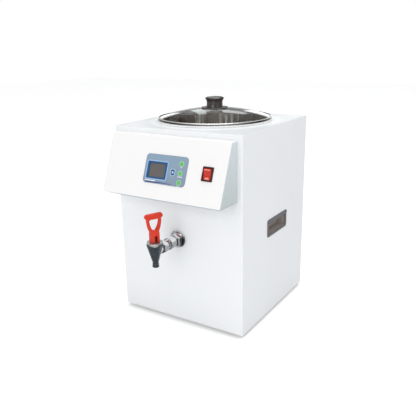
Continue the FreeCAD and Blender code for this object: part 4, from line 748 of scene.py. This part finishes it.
def tap_moulding(settings):
    """Slate-black tap body, glossy, with a bluish cast and a plated side port."""
    body = Finish("Tap Moulding", Coat_Weight=0.5, Coat_Roughness=0.10)
    net = body.net
    away = from_shank(net, body.place)[2]
    start = joint("handle_swivel")["pos_m"][1] + SIDE_PORT_START
    port = net.times(net.spread(away, SIDE_PORT_RADIUS + 0.1 * MM, SIDE_PORT_RADIUS - 0.1 * MM),
                     net.spread(net.parts(body.place)[1], start - 0.5 * MM, start + 0.5 * MM))
    body.apply("moulded", bump=0.05, Colour=net.mixed(port, settings.body, PORT_PLATE), Grain=1300.0,
               Roughness=0.26, Bloom=0.08)
    body.metallic(port)
    return body


# The pocket's colour is paler than its own, as painted light against the recess's shade
GRIP_FRAME = (0.155, 0.155, 0.16)
GRIP_POCKET_PAINTED_LIGHT = (0.43, 0.375, 0.345)


def grey_moulding():
    """Hand recesses: warm grey with fine spark texture, a dark frame and a browner pocket, made paler with
    painted light against the pocket's shade.
    """
    grey = Finish("Grey Moulding")
    net = grey.net
    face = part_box("handle_cup_right")[1].x
    deep = net.spread(net.maths("ABSOLUTE", net.parts(grey.place)[0]), face - 1.5 * MM, face - 7 * MM)
    return grey.apply("moulded", bump=0.20, Colour=net.mixed(deep, GRIP_FRAME, GRIP_POCKET_PAINTED_LIGHT), Grain=1500.0,
                      Roughness=0.46, Bloom=0.08)


GLASS_TINT = (0.955, 0.975, 0.97)
GLASS_SHADOW = (0.9, 0.92, 0.92)


def lid_glass():
    """Clear tempered glass, which lets lamp light through to the tank."""
    glass = Finish("Lid Glass", Transmission_Weight=1.0, IOR=1.47, Roughness=0.015, Base_Color=GLASS_TINT)
    net = glass.net
    haze = net.noise(net.mapped(glass.place, (14, 14, 14)), 1.0, 4.0, 0.6)
    net.feed(glass.shader.inputs["Roughness"], net.spread(haze, 0.5, 0.85, 0.012, 0.045))
    passing = net.add("ShaderNodeBsdfTransparent", {}, {"Color": GLASS_SHADOW})
    surface = net.add("ShaderNodeMixShader", {}, {
        0: net.light_path()["Is Shadow Ray"], 1: glass.shader.outputs[0], 2: passing})
    net.feed(glass.material.node_tree.nodes["Material Output"].inputs["Surface"], surface)
    return glass


def knob_moulding():
    knob = Finish("Knob Moulding", Coat_Weight=0.7, Coat_Roughness=0.12)
    return knob.apply("turned", vector=knob.about("lid_knob"), bump=0.10, Colour=(0.052, 0.041, 0.040),
                      Pitch=900.0, Roughness=0.36, Contrast=0.12)


def overlay_film(settings):
    """Overlay film: blue-grey, greener and paler towards its top, with a matt lacquer."""
    film = Finish("Overlay Film", Coat_Weight=0.2, Coat_Roughness=0.25)
    film.apply("moulded", bump=0.06, Grain=2600.0, Roughness=0.36, Bloom=0.02)
    net = film.net
    low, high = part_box("display_overlay")
    drift = net.spread(net.parts(film.place)[2], low.z, high.z)
    fine = net.noise(film.place, 2600.0, 2.0, 0.5)
    film.colour(net.shade(net.mixed(drift, settings.overlay_low, settings.overlay),
                          net.spread(fine, 0.3, 0.7, 0.98, 1.02)))
    return film


SCREEN_COLUMN_PITCH = 3.1 * MM
SCREEN_ROW_PITCH = 3.6 * MM


def screen_face():
    """Unlit display: brown-grey glass with faint electrode lines both ways."""
    screen = Finish("Display Face", Coat_Weight=0.6, Coat_Roughness=0.06)
    screen.apply("moulded", bump=0, Colour=(0.135, 0.128, 0.122), Grain=1200.0, Roughness=0.22, Bloom=0.04)
    net = screen.net
    x, _, z = net.parts(screen.place)
    columns = net.maths("SINE", net.times(x, math.tau / SCREEN_COLUMN_PITCH))
    rows = net.maths("SINE", net.times(z, math.tau / SCREEN_ROW_PITCH))
    weave = net.plus(net.spread(columns, -1, 1, 0.93, 1.07), net.spread(rows, -1, 1, -0.02, 0.02))
    screen.colour(net.shade(screen.grained, weave))
    return screen


BUTTON_FOOT = 0.5 * MM
BUTTON_RING = (0.38, 0.72, 0.38)


def button_plastic(settings, node):
    """Green button with a pale ring round its face."""
    green = Finish("Green " + node, Coat_Weight=0.35, Coat_Roughness=0.12)
    net = green.net
    low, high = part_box(node)
    middle = (low + high) / 2
    radius = (high.x - low.x) / 2 - BUTTON_FOOT
    up = PANEL.to_3x3() @ Vector((0, 1, 0))
    across = net.minus(net.parts(green.place)[0], middle.x)
    slope = net.minus(net.along(green.place, tuple(up)), up.dot(middle))
    edge = radius - settings.ring_width
    ring = net.spread(net.radius(across, slope), edge - 0.15 * MM, edge + 0.15 * MM)
    return green.apply("moulded", bump=0.04, Colour=net.mixed(ring, settings.button, BUTTON_RING),
                       Grain=2400.0, Roughness=0.30, Bloom=0.04)


LAMINATE_DARK = (0.012, 0.13, 0.045)
LAMINATE_PALE = (0.016, 0.17, 0.06)
LAMINATE_TRACE = (0.03, 0.30, 0.10)
BOARD_PARTS = (0.035, 0.038, 0.05)


def board_laminate():
    """Circuit board: green mask with traces and pads; the parts that stand on the power board are dark."""
    board = Finish("Board Laminate", Coat_Weight=0.3, Coat_Roughness=0.2)
    net = board.net
    traces = net.add("ShaderNodeTexBrick", {"offset": 0.5}, {
        "Vector": net.mapped(board.place, turn=(0.3, 0.2, 0.4)), "Color1": LAMINATE_DARK,
        "Color2": LAMINATE_PALE, "Mortar": LAMINATE_TRACE, "Scale": 160.0, "Mortar Size": 0.03,
        "Brick Width": 0.9, "Row Height": 0.3})
    board.apply("moulded", bump=0.06, Colour=traces, Grain=2400.0, Roughness=0.34, Bloom=0.03)
    low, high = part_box("power_board")
    z = net.parts(board.place)[2]
    standing = net.times(net.spread(z, low.z + 1.8 * MM, low.z + 2.6 * MM),
                         net.spread(z, high.z + 1.4 * MM, high.z + 0.6 * MM))
    board.colour(net.mixed(standing, board.grained, BOARD_PARTS))
    return board


# Operators

class DISPENSER_OT_cabinet(bpy.types.Operator):
    """Finish the sheet cabinet, its pan, feet, screws and hand recesses"""
    bl_idname = "dispenser.cabinet"
    bl_label = "Cabinet"

    def execute(self, context):
        settings = context.scene.dispenser_coat
        dress(white_coat(settings), "cabinet_shell", "rear_panel")
        dress(top_coat(settings), "top_plate")
        dress(box_coat(settings), "control_box")
        dress(plain("Zinc Sheet"), "base_plate", "deck_plate")
        dress(plain("Black Rubber"), "rubber_feet", "shank_gasket")
        dress(plain("Pale Seal"), "tank_gasket")
        dress(plain("Bright Screw"), "panel_screws", "foot_screws", "box_screws", "board_screws", "knob_screw",
              "knob_washer", "switch_pivot")
        dress(grey_moulding(), "handle_cup_left", "handle_cup_right")
        return {"FINISHED"}


class DISPENSER_OT_heating(bpy.types.Operator):
    """Finish the tank, its heaters, insulation and sensors, and the inlet"""
    bl_idname = "dispenser.heating"
    bl_label = "Tank and heating"

    def execute(self, context):
        dress(drawn_tank(), "tank", "tank_bottom", "outlet_strainer", "temperature_probe")
        dress(plain("Heater Sheet"), "heater_band", "bottom_heater")
        dress(plain("Mineral Wool"), "insulation_jacket", "bottom_insulation")
        dress(plain("Black Moulding"), "overheat_thermostat", "key_switches", "power_inlet", "fuse_drawer")
        return {"FINISHED"}


class DISPENSER_OT_lid(bpy.types.Operator):
    """Finish the glass lid, its rim, vent and knob"""
    bl_idname = "dispenser.lid"
    bl_label = "Lid"

    def execute(self, context):
        dress(lid_glass(), "lid_glass")
        dress(polished_rim(), "lid_rim", "steam_vent")
        dress(knob_moulding(), "lid_knob", "knob_plate")
        return {"FINISHED"}


# Bars below the buttons
BAR_WIDTHS = {"button_up": (3.0 * MM,), "button_set": (2.9 * MM, 2.9 * MM, 2.9 * MM),
              "button_down": (3.4 * MM, 3.0 * MM)}
BAR_HEIGHT = 1.5 * MM
BAR_GAP = 0.7 * MM
BAR_DROP = 1.6 * MM

# Marks on the buttons
MARK_THICKNESS = 0.3 * MM
ARROW_RISE = 0.07 * MM
ARROW_SHIFT = 1.0 * MM
SQUARE_SHARE = 0.62
SQUARE_SINK = 0.23 * MM

# Printed frames: how far each reaches beyond its node's box, line width, corner radius
EDGE_LINE = (-0.15 * MM, 1.0 * MM, 7.3 * MM)
SURROUND_LINE = (0.8 * MM, 1.4 * MM, 3.4 * MM)
# The indicator's frames: width, height, line width where it is given, corner radius
INDICATOR_OUTLINE = (11.2 * MM, 14.2 * MM, 1.0 * MM, 4.6 * MM)
INDICATOR_RING = (9.2 * MM, 12.2 * MM, 3.6 * MM)
LENS_LAP = 0.15 * MM
# Lines along the overlay's lower edge: middle from its left end, middle above that edge, length, height
PALE_LINE = (17.5 * MM, 5.2 * MM, 25 * MM, 1.9 * MM)
NAVY_LINE = (37 * MM, 2.7 * MM, 62 * MM, 2.8 * MM)


class DISPENSER_OT_panel(bpy.types.Operator):
    """Finish the control panel and print its rings, marks and lines"""
    bl_idname = "dispenser.panel"
    bl_label = "Control panel"

    def execute(self, context):
        settings = context.scene.dispenser_panel
        dress(overlay_film(settings), "display_overlay")
        dress(plain("Screen Frame", Colour=settings.frame_blue), "display_bezel")
        dress(screen_face(), "display_screen")
        for name in ("button_up", "button_set", "button_down"):
            dress(button_plastic(settings, name), name)
        dress(printed("Indicator Blue"), "indicator_lens")
        dress(board_laminate(), "controller_board", "power_board")
        dress(plain("Nickelled Brass"), "board_standoffs", "switch_terminals")
        self.captions(settings.print_height)
        self.marks(settings.mark_size)
        self.lines(settings.print_height)
        return {"FINISHED"}

    def captions(self, thick):
        """Short white bars printed below each button."""
        white = printed("White Ink")
        for name, bars in BAR_WIDTHS.items():
            middle, low, high = on_panel(name)
            radius = (high.x - low.x) / 2 - BUTTON_FOOT
            left = middle.x - (sum(bars) + BAR_GAP * (len(bars) - 1)) / 2
            for count, wide in enumerate(bars):
                plate(left + wide / 2, middle.y - radius - BAR_DROP, 0, wide, BAR_HEIGHT, thick)
                rounded_corners()
                printed_plate(f"bar_{name}_{count + 1}", white)
                left += wide + BAR_GAP

    def marks(self, size):
        """Raised arrow, square and arrow on the buttons."""
        dark = printed("Deep Green Ink")
        for name, body, way, turn in (("button_up", "up_button", 1, 0), ("button_down", "down_button", -1, 180)):
            middle, _, high = on_panel(name)
            clear()
            bpy.ops.mesh.primitive_cylinder_add(
                vertices=3, radius=size / 2, depth=MARK_THICKNESS, rotation=(0, 0, math.radians(-turn)),
                location=(middle.x, middle.y - way * ARROW_SHIFT, high.z + ARROW_RISE - MARK_THICKNESS / 2))
            bpy.ops.object.transform_apply()
            bevelled(0.12 * MM, 3)
            settle("arrow_" + name, body, dark)
        middle, _, high = on_panel("button_set")
        side = size * SQUARE_SHARE
        plate(middle.x, middle.y, high.z - SQUARE_SINK, side, side, MARK_THICKNESS)
        rounded_corners(0.4 * MM, 4)
        pick_faces(lambda normal: normal.z > 0.9)
        bpy.ops.mesh.inset(thickness=0.45 * MM)
        bpy.ops.transform.translate(value=(0, 0, -0.12 * MM))
        leave()
        settle("square_button_set", "set_button", dark)

    def lines(self, thick):
        """Printed frames of the overlay, screen and indicator, and two lines along the overlay's lower edge."""
        self.surround("overlay_border", "display_overlay", EDGE_LINE, thick, "Edge Ink")
        low = on_panel("display_overlay")[1]
        right, up, long, tall = PALE_LINE
        plate(low.x + right, low.y + up, 0, long, tall, thick)
        rounded_corners()
        printed_plate("overlay_pale_line", printed("Pale Line Ink"))
        navy = printed("Navy Ink")
        right, up, long, tall = NAVY_LINE
        plate(low.x + right, low.y + up, 0, long, tall, thick)
        pick_faces(lambda normal: normal.x > 0.9)
        bpy.ops.transform.resize(value=(1, 0.35, 1))
        leave()
        bevelled(0.3 * MM, 2, 80)
        printed_plate("overlay_navy_line", navy)
        self.surround("screen_surround", "display_bezel", SURROUND_LINE, thick, "Sky Ink")
        middle, low, high = on_panel("indicator_lens")
        self.band("indicator_outline", middle, *INDICATOR_OUTLINE, thick, printed("Halo Ink"))
        wide, tall, corner = INDICATOR_RING
        line = (wide - (high.x - low.x - 2 * LENS_LAP)) / 2
        stretch = (high.y - low.y - 2 * LENS_LAP) / (tall - 2 * line)
        self.band("indicator_ring", middle, wide, tall, line, corner, thick, navy, stretch)

    def surround(self, name, node, sizes, thick, ink):
        """Printed frame round a node's box."""
        reach, line, corner = sizes
        middle, low, high = on_panel(node)
        self.band(name, middle, high.x - low.x + 2 * reach, high.y - low.y + 2 * reach, line, corner, thick,
                  printed(ink))

    def band(self, name, middle, wide, tall, line, corner, thick, ink, stretch=1):
        """Printed frame of one line width. Its opening may be stretched up and down."""
        plate(middle.x, middle.y, 0, wide, tall, thick)
        rounded_corners(corner, 6)
        pick_faces(lambda normal: abs(normal.z) > 0.9)
        bpy.ops.mesh.inset(thickness=line)
        if stretch != 1:
            bpy.ops.transform.resize(value=(1, stretch, 1), center_override=(middle.x, middle.y, thick / 2))
        bpy.ops.mesh.bridge_edge_loops()
        leave()
        printed_plate(name, ink)


# The rocker at rest: its tip about the pin, each face's slope from its rise and run, and its middle from the pin
ROCKER_TIP = math.radians(10)
ROCKER_FACE_SLOPE = math.atan2(1.1, 10.35)
ROCKER_FACE_MIDDLE = 5.9 * MM
ROCKER_FACE_RISE = 3.36 * MM
ROCKER_HIGHLIGHT_SINK = 0.05 * MM
# Painted highlights on the rocker's two faces, as thin pink plates: middle up the face, width, height, thickness
ROCKER_HIGHLIGHT_BAR = (2.4 * MM, 13.0 * MM, 1.7 * MM, 0.16 * MM)
ROCKER_HIGHLIGHT_FIELD = (-1.9 * MM, 10.5 * MM, 4.0 * MM, 0.12 * MM)


class DISPENSER_OT_switch(bpy.types.Operator):
    """Finish the mains rocker and give it two painted highlights"""
    bl_idname = "dispenser.switch"
    bl_label = "Mains rocker"

    def execute(self, context):
        dress(plain("Switch Moulding"), "switch_housing")
        dress(plain("Rocker Red"), "switch_rocker")
        # Two painted highlights in pink ink: a bar along the upper face and a tapered field on the lower one
        ink = printed("Rocker Mark Ink")
        self.mark(*ROCKER_HIGHLIGHT_BAR)
        rounded_corners()
        settle("rocker_mark_bar", "rocker", ink, self.face(1))
        self.mark(*ROCKER_HIGHLIGHT_FIELD)
        pick_faces(lambda normal: normal.y > 0.9)
        bpy.ops.transform.resize(value=(0.55, 1, 1))
        leave()
        bevelled(0.4 * MM, 3, 60)
        settle("rocker_mark_field", "rocker", ink, self.face(-1))
        return {"FINISHED"}

    def mark(self, up, wide, tall, thick):
        plate(0, up, -ROCKER_HIGHLIGHT_SINK, wide, tall, thick)

    def face(self, side):
        """Place of the rocker's upper (1) or lower (-1) face."""
        pivot = Matrix.Translation(PANEL.inverted() @ Vector(joint("mains_rock")["pos_m"]))
        on_face = Matrix.Translation((0, side * ROCKER_FACE_MIDDLE, ROCKER_FACE_RISE))
        return (PANEL @ pivot @ Matrix.Rotation(ROCKER_TIP, 4, "X") @ on_face
                @ Matrix.Rotation(side * ROCKER_FACE_SLOPE, 4, "X"))


class DISPENSER_OT_tap(bpy.types.Operator):
    """Finish the tap: chrome fittings, slate body and red handle"""
    bl_idname = "dispenser.tap"
    bl_label = "Tap"

    def execute(self, context):
        settings = context.scene.dispenser_tap
        dress(chrome_plate(), "shank_flange", "lock_nut", "back_nut", "tap_shank", "coupling_nut", "handle_pin",
              "tap_spring")
        dress(satin_nickel(), "tap_bonnet")
        dress(plain("Stem Steel"), "tap_stem")
        dress(tap_moulding(settings), "tap_body")
        dress(plain("Silicone"), "seat_cup")
        dress(plain("Handle Red", Colour=settings.handle), "tap_handle")
        return {"FINISHED"}


FLOOR_SIZE = 14
FLOOR_DARKER = (0.955, 0.957, 0.96)
FLOOR_PALER = (0.965, 0.967, 0.97)
FLOOR_MIRRORED = (0.30, 0.30, 0.31)
FLOOR_GLOW = 0.30

# Bearing in radians of the window that the lid mirrors, and what the room shows beside it
WINDOW_BEARING = 2.13
WINDOW_TINT = (0.84, 1.0, 0.96)
ROOM_WHITE = (1.0, 1.0, 1.0)
ROOM_DARK = (0.045, 0.045, 0.05)

# Lamps: place, aim, side of the square, setting that holds its power, colour
LAMPS = {
    "key_lamp": ((0.2, -2.85, 1.3), (0, 0, 0.25), 1.6, "key", (1.0, 0.99, 0.975)),
    "side_lamp": ((2.6, -0.6, 1.2), (0, 0, 0.22), 1.3, "side", (0.97, 0.985, 1.0)),
    "top_lamp": ((0.3, 0.5, 2.9), (0, 0, 0.3), 1.8, "top", (1.0, 1.0, 1.0)),
}


class DISPENSER_OT_stage(bpy.types.Operator):
    """Set the floor, the room, the lamps and the camera"""
    bl_idname = "dispenser.stage"
    bl_label = "Studio"

    def execute(self, context):
        settings = context.scene.dispenser_studio
        self.floor()
        self.room(context, settings)
        self.lamps(settings)
        self.camera(context, settings)
        context.scene.view_settings.view_transform = "Standard"
        return {"FINISHED"}

    def floor(self):
        """Pale floor, darker where metal and glass mirror it."""
        clear()
        bpy.ops.mesh.primitive_plane_add(size=FLOOR_SIZE, location=(0, 0, 0))
        floor = active()
        floor.name = "studio_floor"
        paint = Finish("Studio Floor", Specular_IOR_Level=0.1, Roughness=0.85, Emission_Color=(1, 1, 1))
        net = paint.net
        mottle = net.spread(net.noise(paint.place, 1.3, 2.0, 0.5), 0.3, 0.7)
        path = net.light_path()
        pale = net.mixed(mottle, FLOOR_DARKER, FLOOR_PALER)
        paint.colour(net.mixed(path["Is Glossy Ray"], pale, FLOOR_MIRRORED))
        seen = net.most(path["Is Camera Ray"], path["Is Transmission Ray"])
        net.feed(paint.shader.inputs["Emission Strength"], net.times(seen, FLOOR_GLOW))
        floor.data.materials.append(paint.material)

    def room(self, context, settings):
        """Pale room. Mirrored rays also see dark walls, a dark belt and a bright window."""
        world = bpy.data.worlds.new("Studio Room")
        context.scene.world = world
        world.use_nodes = True
        net = Net(world.node_tree)
        x, y, z = net.parts(net.add("ShaderNodeTexCoord", out="Generated"))
        around = net.maths("ARCTAN2", y, x)
        pane, window = self.window(net, net.minus(around, WINDOW_BEARING), z)
        walls = net.maths("SINE", net.times(around, 3.0))
        strips = net.times(net.spread(walls, 0.25, 0.65), net.spread(z, 0.9, 0.6))
        belt = net.times(net.spread(z, 0.05, 0.13), net.spread(z, 0.86, 0.72), 0.85)
        dark = net.times(net.most(strips, belt), net.minus(1.0, window))
        path = net.light_path()
        bounced = net.maths("GREATER_THAN", path["Glossy Depth"], 0.5)
        through = path["Is Transmission Ray"]
        seen = net.most(path["Is Camera Ray"], net.times(through, net.minus(1.0, bounced)))
        mirror = net.most(path["Is Glossy Ray"], net.times(through, bounced))
        tone = net.mixed(net.times(pane, mirror), ROOM_WHITE, WINDOW_TINT)
        level = net.plus(net.times(seen, 1.0 - settings.room), settings.room)
        back = world.node_tree.nodes["Background"]
        net.feed(back.inputs["Color"], net.mixed(net.times(dark, mirror), tone, ROOM_DARK))
        net.feed(back.inputs["Strength"], net.plus(level, net.times(window, mirror, settings.glare)))

    def window(self, net, off, z):
        """Masks of the window's pane and of the whole window: pane, sill to its right and wings beside both."""
        aside = net.maths("ABSOLUTE", off)
        pane = net.times(net.spread(net.gap(off, 0.038), 0.044, 0.036), net.spread(z, 0.12, 0.20),
                         net.spread(z, 0.47, 0.42, 0.0, 0.55))
        sill = net.times(net.spread(net.gap(off, -0.080), 0.09, 0.07),
                         net.spread(net.gap(z, 0.34), 0.07, 0.04, 0.0, 0.5))
        wings = net.times(net.spread(aside, 0.110, 0.125), net.spread(aside, 0.4, 0.3),
                          net.spread(z, 0.25, 0.18, 0.0, 0.7))
        return pane, net.most(pane, sill, wings)

    def lamps(self, settings):
        for name, (place, aim, size, power, colour) in LAMPS.items():
            clear()
            bpy.ops.object.light_add(type="AREA", location=place)
            lamp = active()
            lamp.name = name
            lamp.rotation_euler = (Vector(aim) - Vector(place)).to_track_quat("-Z", "Y").to_euler()
            lamp.data.shape = "RECTANGLE"
            lamp.data.size = size
            lamp.data.size_y = size
            lamp.data.energy = getattr(settings, power)
            lamp.data.color = colour

    def camera(self, context, settings):
        low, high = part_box("cabinet_shell")
        start = Vector(((low.x + high.x) / 2, low.y, low.z))
        a, e, r = settings.azimuth, settings.elevation, settings.roll
        back = Vector((math.sin(a) * math.cos(e), -math.cos(a) * math.cos(e), math.sin(e)))
        right = Vector((math.cos(a), math.sin(a), 0))
        up = back.cross(right)
        across = math.cos(r) * right + math.sin(r) * up
        upward = -math.sin(r) * right + math.cos(r) * up
        clear()
        bpy.ops.object.camera_add(location=start + Vector(settings.offset))
        camera = active()
        camera.name = "photo_camera"
        camera.rotation_euler = Matrix((across, upward, back)).transposed().to_euler()
        camera.data.sensor_width = 36
        camera.data.lens = settings.lens
        camera.data.clip_start = 0.01
        camera.data.clip_end = 60
        context.scene.camera = camera


class DISPENSER_PT_sidebar(bpy.types.Panel):
    """Lists the settings and the steps"""
    bl_idname = "DISPENSER_PT_sidebar"
    bl_label = "Wax dispenser"
    bl_space_type = "VIEW_3D"
    bl_region_type = "UI"
    bl_category = "Dispenser"

    def draw(self, context):
        for group_name in SETTINGS:
            box = self.layout.box()
            settings = getattr(context.scene, group_name)
            for name in settings.bl_rna.properties.keys():
                if name not in ("rna_type", "name"):
                    box.prop(settings, name)
        for step in STEPS:
            self.layout.operator(step.bl_idname)


SETTINGS = {"dispenser_coat": CoatSettings, "dispenser_panel": PanelSettings, "dispenser_tap": TapSettings,
            "dispenser_studio": StudioSettings}
STEPS = (DISPENSER_OT_cabinet, DISPENSER_OT_heating, DISPENSER_OT_lid, DISPENSER_OT_panel, DISPENSER_OT_switch,
         DISPENSER_OT_tap, DISPENSER_OT_stage)


def register():
    for kind in (*SETTINGS.values(), *STEPS, DISPENSER_PT_sidebar):
        bpy.utils.register_class(kind)
    for name, kind in SETTINGS.items():
        setattr(bpy.types.Scene, name, bpy.props.PointerProperty(type=kind))


def unregister():
    for name in SETTINGS:
        delattr(bpy.types.Scene, name)
    for kind in (DISPENSER_PT_sidebar, *reversed(STEPS), *reversed(SETTINGS.values())):
        bpy.utils.unregister_class(kind)


def main():
    register()
    clear()
    for step in STEPS:
        area, name = step.bl_idname.split(".")
        getattr(getattr(bpy.ops, area), name)()


if __name__ == "__main__":
    main()
